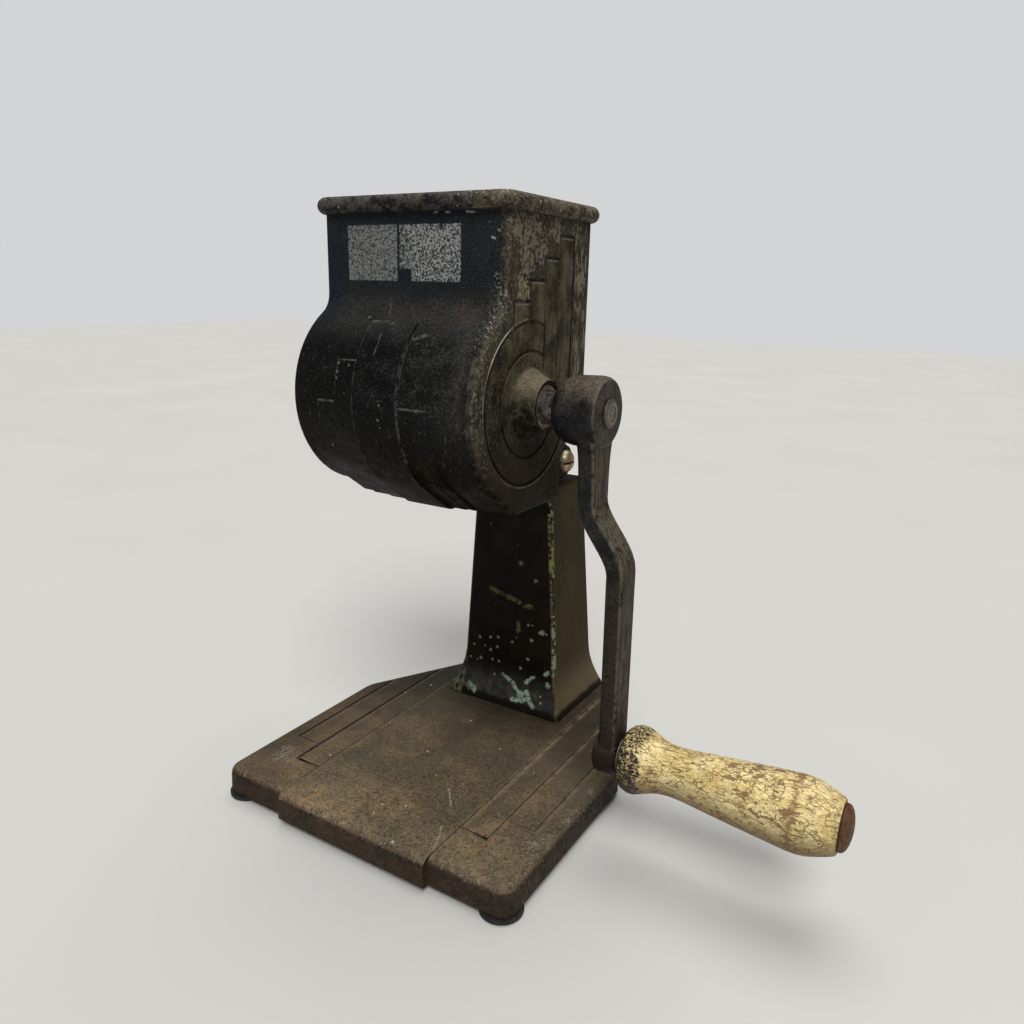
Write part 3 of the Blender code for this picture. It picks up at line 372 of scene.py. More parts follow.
def drum_marks(s, paint):
    """The drum's raised strips are pale on ledges, flanks and crests, worn and with painted highlight, with
    scars and scratches between.
    """
    ragged = s.warped(0.35, 1.2, 13, s.wrapped)
    ledges = s.strokes(ragged,
                       [[(-30.2, -0.2), (-20.9, -0.2)], [(-20.8, 17.2), (-11.4, 17.4)],
                        [(12, -0.2), (25.4, -0.2)]], 0.42, 0.25)
    flanks = s.strokes(ragged,
                       [[(-30.6, -0.3), (-30.7, -9)], [(-20.9, 17), (-20.9, 0)],
                        [(-11.3, 35), (-11.3, 12), (-11.3, -26)], [(11.5, 31), (11.4, 2), (11.5, -24)],
                        [(33.9, -6), (33.6, -13)]], 0.33, 0.25)
    crest = s.strokes(ragged,
                      [[(-10.6, 35.6), (-5, 36.6), (-0.6, 35)], [(12.8, 29), (15.6, 29.8), (19, 31.6)]],
                      0.8, 0.7)
    scratches = s.strokes(ragged, [[(-3.4, 29.5), (-2.6, 25), (-2.9, 20)], [(-9, 47), (-7, 41)]], 0.24, 0.22)
    scars = s.ramp(s.add(s.noise(2.6, 4, 0.75, 39, s.vec(s.mul(s.x, 1.5), s.mul(s.arc, 0.8), 0)),
                         s.mul(s.ramp(s.x, -10, 38), 0.03)), 0.635, 0.665)
    paint = s.over(paint, (0.075, 0.073, 0.062), scars, s.on_drum, 0.55)
    # Wear and painted highlight on the ledges, flanks and crests.
    paint = s.over(paint, (0.115, 0.11, 0.09), ledges, s.on_drum, s.ramp(s.broken, 0, 1, 0.25, 0.85))
    paint = s.over(paint, (0.085, 0.085, 0.076), flanks, s.on_drum, s.broken, 0.6)
    paint = s.over(paint, (0.125, 0.12, 0.095), crest, s.on_drum, s.broken, 0.6)
    paint = s.over(paint, (0.12, 0.115, 0.1), scratches, s.ramp(s.broken, 0, 1, 0.1, 0.7))
    spots = s.dots([(-15.8, 39, 1.2), (-20.6, 15.6, 0.9), (-20.4, 12, 1), (-20.3, 9.4, 0.8),
                    (-14.8, 15, 0.7), (3.2, 0.4, 0.7), (2.2, -5.6, 0.9), (2.8, -8.8, 0.6),
                    (-27.6, -20.6, 1), (-18.9, -36, 0.8)], 0.6, s.warped(0.6, 1.3, 15, s.wrapped), 0.5)
    paint = s.over(paint, (0.2, 0.172, 0.13), spots, s.on_drum, 0.7)
    return paint


def blank_plates(s, paint):
    """Two blank plates of speckled grey on the hopper's front."""
    lx, _, lz = s.parts(s.warped(0.35, 1.4, 16))
    tall = s.band(lz, 241.3, 263.1, 0.16)
    plate_a = s.mul(s.band(lx, -32.3, -6.1, 0.16), tall)
    plate_b = s.mul(s.band(lx, -4.9, 25.3, 0.16), tall)
    notches = s.top(s.mul(s.ramp(lx, 1.3, 0.7), s.ramp(lz, 246.4, 245.8)),
                    s.mul(s.near(lx, 16, 0.7, 0.4), s.ramp(lz, 260.6, 261.4)))
    grain_a = s.patches(0.45, 0.52, 0.8, 4, 0.8, 17)
    grain_b = s.patches(0.475, 0.535, 1, 4, 0.8, 18)
    tears = s.patches(0.345, 0.3, 2.6, 3, 0.7, 19)
    left_wear = s.mul(s.ramp(lx, 4, -5), s.patches(0.44, 0.56, 1.6, 3, 0.7, 20))
    plate_a = s.mul(plate_a, s.ramp(grain_a, 0, 1, 0.12, 1), s.inv(s.mul(tears, 0.85)))
    plate_b = s.mul(plate_b, s.inv(notches), s.ramp(grain_b, 0, 1, 0.05, 1),
                    s.inv(s.mul(s.top(tears, left_wear), 0.85)))
    s.plates = s.mul(plate_a, s.on_front), s.mul(plate_b, s.on_front)
    paint = s.mix(s.plates[0], paint, (0.18, 0.186, 0.177))
    paint = s.mix(s.plates[1], paint, (0.285, 0.292, 0.283))
    front_marks = s.strokes(s.vec(s.x, s.z, 0),
                            [[(12.4, 267.3), (13.8, 267.3)], [(18.4, 267.2), (19.8, 267.2)],
                             [(28, 267.2), (31.5, 267)], [(39.6, 257.9), (40.9, 257.4)],
                             [(42.6, 260.4), (43, 260)]], 0.38, 0.3)
    paint = s.over(paint, (0.26, 0.26, 0.23), front_marks, s.on_front, s.ramp(s.broken, 0, 1, 0.4, 1))
    return paint


def right_face(s):
    """The right face is dark and grimy, with streaks, and smoother on the disc and the raised bars."""
    side = s.mix(s.ramp(s.patchy, 0.35, 0.65), (0.026, 0.024, 0.018), (0.052, 0.046, 0.032))
    s.streak = s.noise(1.5, 4, 0.65, 21, s.stretched(1, 1, 0.14))
    side = s.grained(side, s.streak, 0.65, 1.45)
    side = s.grained(side, s.fine, 0.5, 1.5)
    khaki = s.mix(s.patches(0.36, 0.64, 9, 4, 0.65, 22), (0.024, 0.02, 0.013), (0.078, 0.066, 0.04))
    khaki = s.grained(khaki, s.noise(0.8, 3, 0.65, 23), 0.55, 1.45)
    khaki = s.bright(khaki, s.ramp(s.streak, 0.35, 0.65, 0.75, 1.2))
    # Painted shade: the khaki is darker towards the bottom and the front.
    khaki = s.bright(khaki, s.ramp(s.add(s.mul(s.z, 0.7), s.mul(s.y, 0.35)), 105, 150, 0.42, 1.1))
    in_disc = s.ramp(s.radius, 33.8, 33.4)
    bars = s.top(s.mul(s.band(s.y, -40, -28.1, 0.15), s.ramp(s.z, 234.3, 234.1)),
                 s.mul(s.band(s.y, -27.8, -15.5, 0.15), s.ramp(s.z, 242.6, 242.4)),
                 s.mul(s.band(s.y, -15.5, -4.4, 0.15), s.ramp(s.z, 251.6, 251.4)),
                 s.mul(s.band(s.y, -4.4, 8.2, 0.15), s.ramp(s.z, 260.7, 260.5)))
    bars = s.mul(bars, s.ramp(s.z, 198, 204))
    smooth = s.top(in_disc, bars)
    side = s.mix(smooth, side, khaki)
    return side_marks(s, side_flakes(s, side, smooth))


def side_flakes(s, side, smooth):
    """Beige flaking paint in places, and vertical streaks of it at the rear."""
    patches = s.dots([(-36, 263, 1), (-30, 259, 1.1), (-24, 263, 0.8), (-31.5, 249.5, 0.75),
                      (-21, 254.5, 0.75), (-9, 262.5, 0.7), (-33.5, 240.5, 0.6), (-29.5, 238.5, 0.6),
                      (-34, 236, 0.5), (16, 244.5, 0.6), (21.4, 215.5, 0.65), (1.5, 205, 0.4),
                      (10, 263, 0.5)], 8, s.warped(5, 7, 24, s.flat), 0.55)
    streaks_rear = s.mul(s.band(s.y, 8, 22, 3), s.band(s.z, 203, 263, 5), 0.62)
    low_rear = s.mul(s.ramp(s.y, -20, -6), s.ramp(s.z, 182, 172), 0.55)
    band_left = s.mul(s.ramp(s.y, -40, -52), s.ramp(s.z, 236, 224), 0.38)
    flake_zone = s.top(patches, streaks_rear, low_rear, band_left, 0.16)
    flake_noise = s.blend(s.ramp(s.y, 4, 10), s.noise(1.8, 4, 0.7, 25),
                          s.noise(2, 4, 0.7, 26, s.stretched(1, 1, 0.3)))
    s.flakes = s.ramp(s.add(flake_noise, s.mul(flake_zone, 0.165)), 0.615, 0.655)
    s.flakes = s.mul(s.flakes, s.inv(s.mul(smooth, s.inv(s.ramp(s.z, 236, 228, 0, 0.35)))))
    beige = s.mix(s.noise(1.2, 2, 0.6, 27), (0.11, 0.092, 0.066), (0.26, 0.22, 0.16))
    beige = s.mix(s.dots([(-33, 238.5, 1)], 7, s.flat, 0.4), beige, (0.235, 0.205, 0.125))
    side = s.over(side, beige, s.flakes, 0.85)
    side = s.mix(s.ramp(s.z, 190, 160, 0, 0.85), side,
                 s.mix(s.patchy, (0.008, 0.005, 0.0025), (0.026, 0.017, 0.008)))
    return side


def side_marks(s, side):
    """The bars' tops and the upper arcs of the two rings are rubbed pale and carry painted highlight, with a
    painted glint on the outer ring.
    """
    # Wear and painted highlight just under each bar's top.
    pale_caps = s.strokes(s.flat,
                          [[(-39.4, 233.4), (-28.6, 233.4)], [(-27.2, 241.7), (-16.2, 241.7)],
                           [(-15, 250.7), (-5, 250.7)], [(-3.6, 259.9), (7.4, 259.9)]], 0.32, 0.22)
    side = s.over(side, (0.175, 0.155, 0.11), pale_caps, s.ramp(s.broken, 0, 1, 0.3, 0.8))
    # Wear and painted highlight on the upper arcs of the rings.
    outer_ring = s.mul(s.near(s.radius, 34.6, 0.35, 0.3),
                       s.top(s.band(s.turn, -0.2, 1.5, 0.15), s.mul(s.band(s.turn, -2.6, -0.9, 0.3), 0.5)))
    inner_ring = s.mul(s.near(s.radius, 21, 0.3, 0.3), s.band(s.turn, 0.3, 1.6, 0.2), 0.5)
    side = s.over(side, (0.2, 0.18, 0.135), s.top(outer_ring, inner_ring), s.ramp(s.broken, 0, 1, 0.25, 0.85))
    glint = s.mul(s.near(s.radius, 34.4, 0.3, 0.25), s.band(s.turn, 0.5, 1.05, 0.12), s.ramp(s.x, 45.5, 45.8))
    side = s.over(side, (0.6, 0.6, 0.55), glint, 0.9)
    return side


def boss_and_side(s, paint, side):
    """Puts the paint and the right face together, and the boss: dusty on top and painted shade below."""
    on_boss = s.mul(s.ramp(s.x, 46.7, 47.4), s.ramp(s.radius, 18, 17))
    # Dust on top and painted shade below: the boss goes from near-black underneath to dusty beige on top.
    dust = s.ramp(s.add(s.nz, s.wobble(0.5, 3, 3, 0.6, 28)), -0.05, 0.9)
    boss = s.mix(dust, (0.007, 0.006, 0.004), (0.15, 0.125, 0.078))
    boss = s.grained(boss, s.fine, 0.55, 1.4)
    halo = s.mul(s.ramp(s.radius, 24, 15), s.ramp(s.rz, -2, 10), s.ramp(s.x, 46, 46.4))
    side = s.over(side, (0.15, 0.125, 0.078), halo, s.patches(0.4, 0.6, 1, 3, 0.65, 29), 0.55)
    colour = s.mix(s.right, paint, side)
    return s.mix(on_boss, colour, boss)


def worn_corner(s, colour):
    """The rounded corner between the front and the right face is worn to grey-beige."""
    corner = s.mul(s.ramp(s.x, 41, 44), s.ramp(s.nx, 0.12, 0.35), s.ramp(s.nx, 0.97, 0.85))
    s.corner_wear = s.mul(corner, s.patches(0.46, 0.6, 3, 4, 0.7, 30), s.ramp(s.z, 176, 216, 0.35, 1))
    colour = s.over(colour, (0.09, 0.078, 0.056), s.corner_wear, 0.7)
    crumbs_zone = s.mul(s.near(s.x, 43.5, 3, 3.5), s.band(s.z, 217, 246, 7), s.ramp(s.y, -36, -42))
    crumbs = s.ramp(s.add(s.noise(1.1, 4, 0.72, 31), s.mul(crumbs_zone, 0.1)), 0.65, 0.69)
    colour = s.over(colour, (0.25, 0.24, 0.21), crumbs, s.ramp(crumbs_zone, 0.1, 0.5), 0.75)
    return colour


def hopper_rim(s, colour):
    """The rim is brown-grey, rubbed along the top and chipped at the front right corner."""
    on_rim = s.ramp(s.z, 267.6, 268.4)
    rim_right = s.ramp(s.x, 20, 46)
    rim_colour = s.mix(s.patches(0.4, 0.6, 5, 4, 0.68, 37), (0.012, 0.012, 0.0125), (0.058, 0.056, 0.05))
    rim_colour = s.mix(rim_right, rim_colour,
                       s.mix(s.patches(0.38, 0.62, 5, 4, 0.68, 38), (0.036, 0.03, 0.021),
                             (0.125, 0.105, 0.074)))
    rub = s.mul(s.ramp(s.nz, 0.1, 0.8), s.patches(0.42, 0.6, 3, 4, 0.65, 32))
    rim_colour = s.over(rim_colour, (0.135, 0.125, 0.1), rub, 0.4)
    chip_zone = s.ramp(s.math("ABSOLUTE", s.sub(s.x, 40)), 30, 4)
    chips = s.ramp(s.add(s.noise(1.3, 3.5, 0.72, 33), s.mul(chip_zone, 0.05)), 0.655, 0.69)
    rim_colour = s.over(rim_colour, (0.4, 0.38, 0.32), chips, 0.85)
    rim_colour = s.grained(rim_colour, s.fine, 0.5, 1.45)
    return s.mix(on_rim, colour, rim_colour)


def bare_inside(s, colour):
    """Inside the hopper and the drum: bare dark iron."""
    hollow = s.mul(s.ramp(s.math("ABSOLUTE", s.x), 42.9, 42.6), s.band(s.y, -42.3, 22.2, 0.15))
    drum = s.mul(hollow, s.ramp(s.z, 152, 156), s.ramp(s.z, 270, 266), s.ramp(s.radius, 41.2, 40.8))
    s.inside = s.top(drum, s.mul(hollow, s.band(s.z, 228, 269, 1)))
    iron = s.mix(s.patchy, (0.05, 0.043, 0.036), (0.105, 0.092, 0.078))
    return s.mix(s.inside, colour, iron)


def housing_material():
    s = Shade("housing_worn_paint")
    measure_housing(s)
    paint = blank_plates(s, drum_marks(s, brown_underside(s, pale_bloom(s, hopper_paint(s)))))
    colour = worn_corner(s, boss_and_side(s, paint, right_face(s)))
    colour = bare_inside(s, hopper_rim(s, colour))
    rough = s.blend(s.right, s.ramp(s.patchy, 0.3, 0.7, 0.46, 0.64), 0.68)
    rough = s.blend(s.top(s.mul(s.grains, 0.7), s.flakes, s.corner_wear, *s.plates), rough, 0.8)
    height = s.add(s.mul(s.noise(1.1, 3, 0.6, 34), 0.7), s.mul(s.noise(5, 3, 0.5, 35), 1.4),
                   s.mul(s.flakes, s.right, 0.5), s.mul(s.grains, 0.35), s.mul(s.streak, s.right, 0.6))
    return s.finish(colour, rough, s.mul(s.inside, 0.3), height, 0.3, 0.22, spec=0.06)


def rusty_top(s, grain, pits):
    """Rust-brown iron, coarser towards the front, with dark stains and warm patches, and painted light and
    shade: paler at the front, darker towards the back and the left.
    """
    patchy = s.noise(20, 5, 0.62, 2)
    cloud = s.noise(48, 3, 0.5, 3)
    colour = s.mix(s.ramp(patchy, 0.34, 0.66), (0.08, 0.059, 0.034), (0.162, 0.115, 0.062))
    colour = s.mix(s.ramp(cloud, 0.42, 0.62, 0, 0.6), colour, (0.078, 0.068, 0.042))
    stains = s.dots([(-13.8, -54.5, 0.8), (-2, -54.1, 0.8), (7.2, -50.5, 0.7), (9.6, -43, 0.6),
                     (10.5, -37, 0.5), (-1.5, -14.2, 2.6), (20.8, -13.2, 2.6), (37, -15.7, 1.9),
                     (71.6, -42.8, 1.4), (-30, -46, 1.2)], 6, s.warped(4, 7, 4, s.flat), 0.75)
    colour = s.over(colour, (0.06, 0.053, 0.034), stains, 0.42)
    warm = s.dots([(50.8, -74.4, 1), (-24.7, -88, 1.7), (3, -68, 2.2), (22, -38, 1.5), (57, -62, 1.4),
                   (-58, -72, 1.5), (58, -30, 1.3), (-8, -80, 1.5)], 6.5, s.warped(4, 6, 5, s.flat), 0.7)
    colour = s.over(colour, (0.215, 0.135, 0.07), warm, s.patches(0.36, 0.6, 4, 3, 0.65, 6), 0.55)
    colour = s.grained(colour, grain, 0.5, 1.5)
    colour = s.over(colour, (0.03, 0.021, 0.012), pits, 0.7)
    pale = s.mul(s.patches(0.6, 0.67, 1.2, 3, 0.72, 7), s.coarse)
    colour = s.over(colour, (0.33, 0.25, 0.145), pale, 0.6)
    # Painted shade towards the back and the left, and painted light at the front.
    colour = s.bright(colour, s.ramp(s.y, -30, 45, 1, 0.23))
    colour = s.bright(colour, s.ramp(s.y, -88, -40, 1.42, 1))
    colour = s.bright(colour, s.ramp(s.x, -75, -25, 0.52, 1))
    return colour


def relief_dirt_and_painted_light(s, colour):
    """Along the engraved lines: dirt and painted shade in the left ones, with a painted highlight on their
    inner wall, and rusty dust with painted highlight beside the right ones.
    """
    for x, start, dirt in ((41.7, -80, 0.62), (56, -67.5, 0.75), (70.2, -52, 0.42)):
        reach = s.mul(s.ramp(s.y, start - 3, start + 5), s.ramp(s.y, 84, 60), s.ramp(s.nz, 0.5, 0.8))
        worn = s.patches(0.3, 0.6, 5, 4, 0.65, 8)
        # Dirt and painted shade in each left line, a painted highlight on its inner wall, and rusty dust with
        # painted highlight beside each right line.
        left = s.mul(s.near(s.x, -x - 0.2, 0.8, 0.9), reach, s.ramp(worn, 0, 1, dirt * 0.6, dirt))
        lit = s.mul(s.near(s.x, -x + 1.4, 0.5, 0.6), reach, worn, 0.4)
        right = s.mul(s.near(s.x, x + 0.4, 1.2, 1.3), reach, worn, 0.72)
        groove = s.mul(s.near(s.x, x - 0.3, 0.3, 0.5), reach, s.inv(worn), 0.55)
        colour = s.mix(left, colour, (0.022, 0.016, 0.01))
        colour = s.mix(lit, colour, (0.165, 0.125, 0.08))
        colour = s.mix(right, colour, (0.195, 0.14, 0.082))
        colour = s.mix(groove, colour, (0.04, 0.029, 0.018))
    caps = s.strokes(s.warped(0.5, 2, 9, s.flat),
                     [[(-56, -67.4), (-42.5, -67.4)], [(-70, -52.1), (-56.5, -52.1)],
                      [(43, -67.4), (56, -67.4)], [(57, -52.1), (70, -52.1)]], 0.55, 0.4)
    colour = s.over(colour, (0.03, 0.022, 0.014), caps, 0.28)
    # Rusty dust and painted highlight beside the right lines.
    dust = s.strokes(s.warped(2, 4, 10, s.flat),
                     [[(41.8, -88), (42.6, -46), (42.4, 22)], [(46, -66), (58, -52)]], 1.3, 1.2)
    colour = s.over(colour, (0.215, 0.16, 0.096), dust, s.patches(0.36, 0.6, 2, 3, 0.65, 11), 0.6)
    return colour


def base_flecks(s, colour):
    """A broken pale scratch, scattered specks and crusts near the corners."""
    fleck = s.warped(0.5, 1.3, 12, s.flat)
    scratch = s.strokes(fleck,
                        [[(21.4, -47), (25.8, -52.2), (30.1, -57.2)],
                         [(34.2, -70.4), (38.2, -77.7), (40.8, -84.6)]], 0.4, 0.35)
    colour = s.over(colour, (0.44, 0.39, 0.3), scratch, s.patches(0.42, 0.52, 1.2, 2, 0.6, 13), 0.65)
    places = [(-39.7, -15.9), (-47.8, 31.4), (-54.7, 15.6), (9.7, -41.5), (3.4, -73), (4.3, -80),
              (20.7, -91.8), (23.5, -90.3), (-6.1, -27.1), (47.4, -13), (24.4, -40.2), (13, -68),
              (-4.9, 10.1), (23, -4.9), (-44.7, -56)]
    specks = s.dots([(x, y, 0.6 + (i * 37 % 10) * 0.05) for i, (x, y) in enumerate(places)], 0.55, fleck, 0.5)
    colour = s.over(colour, (0.56, 0.52, 0.44), specks, s.ramp(s.nz, 0, 0.3), 0.85)
    crust = s.dots([(-62, -69.5, 1.6), (-66, -64, 1), (74.5, -58.8, 0.8), (77, -53.5, 0.9),
                    (78, -36.5, 0.8), (78.5, -30.3, 1), (78, -9.3, 1.2)], 3.6, s.warped(2.5, 3, 14, s.flat),
                   0.6)
    colour = s.over(colour, (0.27, 0.25, 0.18), crust, s.patches(0.5, 0.58, 1.1, 3, 0.7, 15), 0.6)
    return colour


def base_edges(s, colour, grain):
    """The rounded edges are rubbed pale, partly a painted highlight, and the front and sides are darker."""
    side = s.ramp(s.nz, 0.8, 0.3)
    edge_tone = s.mix(s.patches(0.36, 0.64, 6, 4, 0.65, 16), (0.006, 0.003, 0.0016), (0.026, 0.0125, 0.0055))
    edge_tone = s.grained(edge_tone, grain, 0.6, 1.5)
    colour = s.over(colour, edge_tone, side, 0.9)
    shoulder = s.mul(s.band(s.nz, 0.55, 0.96, 0.15), s.ramp(s.z, 8, 10),
                     s.patches(0.42, 0.6, 3.5, 4, 0.7, 17))
    colour = s.over(colour, (0.052, 0.036, 0.03), shoulder, 0.6)
    # Wear and painted highlight along the rounded top edges.
    wear_and_highlight = s.mul(s.band(s.nz, 0.3, 0.9, 0.15), s.ramp(s.z, 8, 10), s.patches(0.58, 0.66, 1.5, 3, 0.7, 18))
    colour = s.over(colour, (0.26, 0.2, 0.125), wear_and_highlight, 0.6)
    return colour


def base_material():
    s = Shade("base_rusty_iron")
    s.flat = s.vec(s.x, s.y, 0)
    s.coarse = s.mul(s.ramp(s.y, 5, -60, 0.25, 1), s.ramp(s.x, -60, 35, 0.55, 1))
    grain = s.noise(0.8, 3, 0.7)
    grain_2 = s.noise(1.9, 3, 0.65, 1)
    pits = s.mul(s.ramp(grain_2, 0.54, 0.64), s.coarse)
    colour = base_flecks(s, relief_dirt_and_painted_light(s, rusty_top(s, grain, pits)))
    colour = base_edges(s, colour, grain)
    rough = s.ramp(grain_2, 0.3, 0.7, 0.5, 0.8)
    height = s.add(s.mul(grain, 0.8), s.mul(grain_2, 0.8), s.mul(s.noise(6, 3, 0.5, 19), 1.2),
                   s.mul(pits, -0.6))
    return s.finish(colour, rough, 0.05, height, 0.26, 0.4, spec=0.22)


def enamel(s):
    """Near-black on the front and olive on the sides, with a few dusty spots."""
    black = s.mix(s.ramp(s.patchy, 0.4, 0.65), (0.005, 0.0038, 0.0022), (0.011, 0.0078, 0.0042))
    olive = s.mix(s.ramp(s.patchy, 0.35, 0.65), (0.02, 0.0135, 0.0035), (0.032, 0.021, 0.0055))
    olive = s.mix(s.ramp(s.z, 110, 40, 0, 0.8), olive, (0.036, 0.02, 0.0035))
    streak = s.noise(2.5, 3, 0.6, 2, s.stretched(1, 1, 0.08))
    olive = s.grained(olive, streak, 0.85, 1.15)
    colour = s.mix(s.right, black, olive)
    dust = s.dots([(49, 96.9, 0.7), (63.1, 82.4, 0.7), (74.9, 59.9, 0.7), (64, 116.3, 0.7)], 0.9,
                  s.vec(s.y, s.z, 0), 0.5)
    colour = s.over(colour, (0.2, 0.17, 0.11), dust, s.right, 0.3)
    return colour


def flared_foot(s, colour):
    """The flared foot is rubbed to grey, with a painted shadow line where it meets the base."""
    foot = s.ramp(s.z, 36, 22)
    grey = s.mix(s.patches(0.35, 0.65, 5, 4, 0.65, 3), (0.022, 0.022, 0.02), (0.052, 0.051, 0.044))
    colour = s.over(colour, grey, foot, s.inv(s.right), 0.9)
    foot_side = s.mix(s.patchy, (0.075, 0.056, 0.029), (0.125, 0.093, 0.05))
    colour = s.over(colour, foot_side, s.ramp(s.z, 44, 22), s.right)
    # Painted shadow: a dark line where the foot meets the base.
    colour = s.over(colour, (0.006, 0.005, 0.003),
                    s.ramp(s.add(s.z, s.mul(s.noise(3, 2, 0.5, 14), 2)), 20.4, 18.2), 0.94)
    return colour


def pale_chips(s, colour):
    """Pale round chips and a smear on the front."""
    ragged = s.warped(0.8, 1.8, 4, s.flat)
    places = [(-19.2, 48.7, 1.1), (-12.1, 50.3, 1.1), (-7, 51.6, 1.2), (-23.1, 43.4, 0.8),
              (-15.7, 44.3, 0.9), (-7.4, 45.6, 1.1), (-11.8, 42.9, 1.2), (-25.1, 35.4, 0.8),
              (-18.3, 36.2, 1.1), (-10.4, 37.2, 1.1), (-6.2, 37.3, 1), (2.1, 51.1, 1.1), (4.9, 54.3, 0.7),
              (14.5, 55, 1.4), (12.4, 43.3, 1.2), (8, 37, 1.2), (-8.2, 29.2, 0.9), (-13.3, 116.6, 0.7),
              (15.8, 89.8, 1.5), (6.2, 97.7, 1.7), (3.9, 107.5, 0.6), (12.1, 63.5, 1), (14.7, 63.6, 0.8),
              (21, 61.3, 1.8), (23.2, 60.7, 1), (22.3, 24.7, 0.9), (23.6, 21.5, 0.9), (-20.3, 34.9, 0.6),
              (-27, 44, 0.5)]
    s.chips = s.dots(places, 0.72, ragged, 0.5)
    s.chips = s.mul(s.chips, s.on_front, s.ramp(s.z, 120, 60, 0.55, 1))
    colour = s.over(colour, (0.235, 0.245, 0.185), s.chips, 0.85)
    smears = s.strokes(ragged,
                       [[(-12, 79.5), (-3.2, 77.5), (5.9, 75.4)], [(9.6, 74.1), (13.3, 74.4)],
                        [(5.7, 62.9), (5.9, 58.4)]], 1.3, 0.7)
    smears = s.mul(smears, s.on_front, s.patches(0.34, 0.56, 2, 3, 0.65, 5))
    colour = s.over(colour, (0.17, 0.15, 0.08), smears, 0.65)
    return colour


def green_scrapes(s, colour):
    """Green scrapes low down on the front."""
    s.scrape = s.strokes(s.warped(1, 1.8, 6, s.flat),
                         [[(-2.5, 30.5), (3.5, 27.9), (7.5, 24.4), (11, 23.1), (13.8, 25.1), (15.6, 22),
                           (11.9, 19.8), (5.6, 19.1)], [(15.8, 21.2), (19.2, 18.3)],
                          [(12.3, 29.7), (16.5, 33.6)], [(23.6, 37), (25.5, 39)]], 1, 0.5)
    blots = s.dots([(25.8, 31.5, 1.4), (-22.7, 19.9, 1.6), (10.5, 22, 2), (-19.5, 18.6, 1.5),
                    (19.5, 60.5, 0.9)], 1.1, s.warped(1.4, 1.8, 7, s.flat), 0.5)
    s.scrape = s.mul(s.top(s.scrape, s.mul(blots, 0.8)), s.on_front, s.patches(0.36, 0.5, 1.3, 3, 0.65, 8))
    colour = s.over(colour, (0.285, 0.37, 0.27), s.scrape, 0.85)
    return colour


def corner_flakes(s, colour):
    """Green flakes along the front corners, with small scuffs."""
    half = s.sub(s.math("ABSOLUTE", s.x), s.ramp(s.z, 34, 141, 28.6, 22.6))
    near_front = s.ramp(s.y, 42.6, 40.8)
    edge = s.mul(s.ramp(half, -1.9, -0.6), near_front, s.ramp(s.x, 10, 15), s.ramp(s.z, 34, 40))
    wide = s.dots([(24, 102, 1), (24, 108, 0.8), (27, 45, 1), (26, 62, 0.8), (24, 124, 0.6)], 7, s.flat, 0.7)
    flakes = s.ramp(s.add(s.noise(2.6, 4, 0.7, 9), s.mul(wide, 0.1)), 0.55, 0.61)
    tint = s.mix(s.mul(s.ramp(s.z, 84, 100), s.ramp(s.z, 122, 112)), (0.215, 0.275, 0.17),
                 (0.23, 0.235, 0.075))
    colour = s.over(colour, tint, edge, flakes, 0.9)
    left_edge = s.mul(s.ramp(half, -1.8, -0.6), near_front, s.ramp(s.x, -10, -15),
                      s.patches(0.46, 0.56, 3, 3, 0.7, 10))
    colour = s.over(colour, (0.13, 0.15, 0.085), left_edge, s.ramp(s.z, 90, 76, 0.4, 1), 0.6)
    corner = s.mul(s.band(s.nx, 0.25, 0.75, 0.15), near_front, s.patches(0.42, 0.58, 4, 4, 0.7, 11))
    colour = s.over(colour, (0.165, 0.145, 0.095), corner, s.inv(flakes), 0.45)
    scuffs = s.mul(s.patches(0.655, 0.69, 1.1, 3, 0.7, 12), s.ramp(s.z, 95, 40, 0.2, 1), s.inv(s.right))
    colour = s.over(colour, (0.13, 0.125, 0.095), scuffs, 0.5)
    return colour


def pedestal_material():
    s = Shade("pedestal_olive_enamel")
    s.right = s.ramp(s.nx, 0.35, 0.8)
    s.fine = s.noise(1, 3, 0.6)
    s.patchy = s.noise(16, 4, 0.6, 1)
    s.flat = s.vec(s.x, s.z, 0)
    s.on_front = s.ramp(s.ny, -0.15, -0.5)
    colour = pale_chips(s, flared_foot(s, enamel(s)))
    colour = corner_flakes(s, green_scrapes(s, colour))
    rough = s.add(s.blend(s.right, 0.42, 0.52), s.ramp(s.fine, 0.3, 0.7, -0.06, 0.1))
    height = s.add(s.mul(s.fine, 0.5), s.mul(s.noise(6, 2, 0.5, 13), 1.2), s.mul(s.chips, -0.6),
                   s.mul(s.scrape, 0.4))
    return s.finish(colour, rough, 0, height, 0.15, 0.4, spec=0.08)


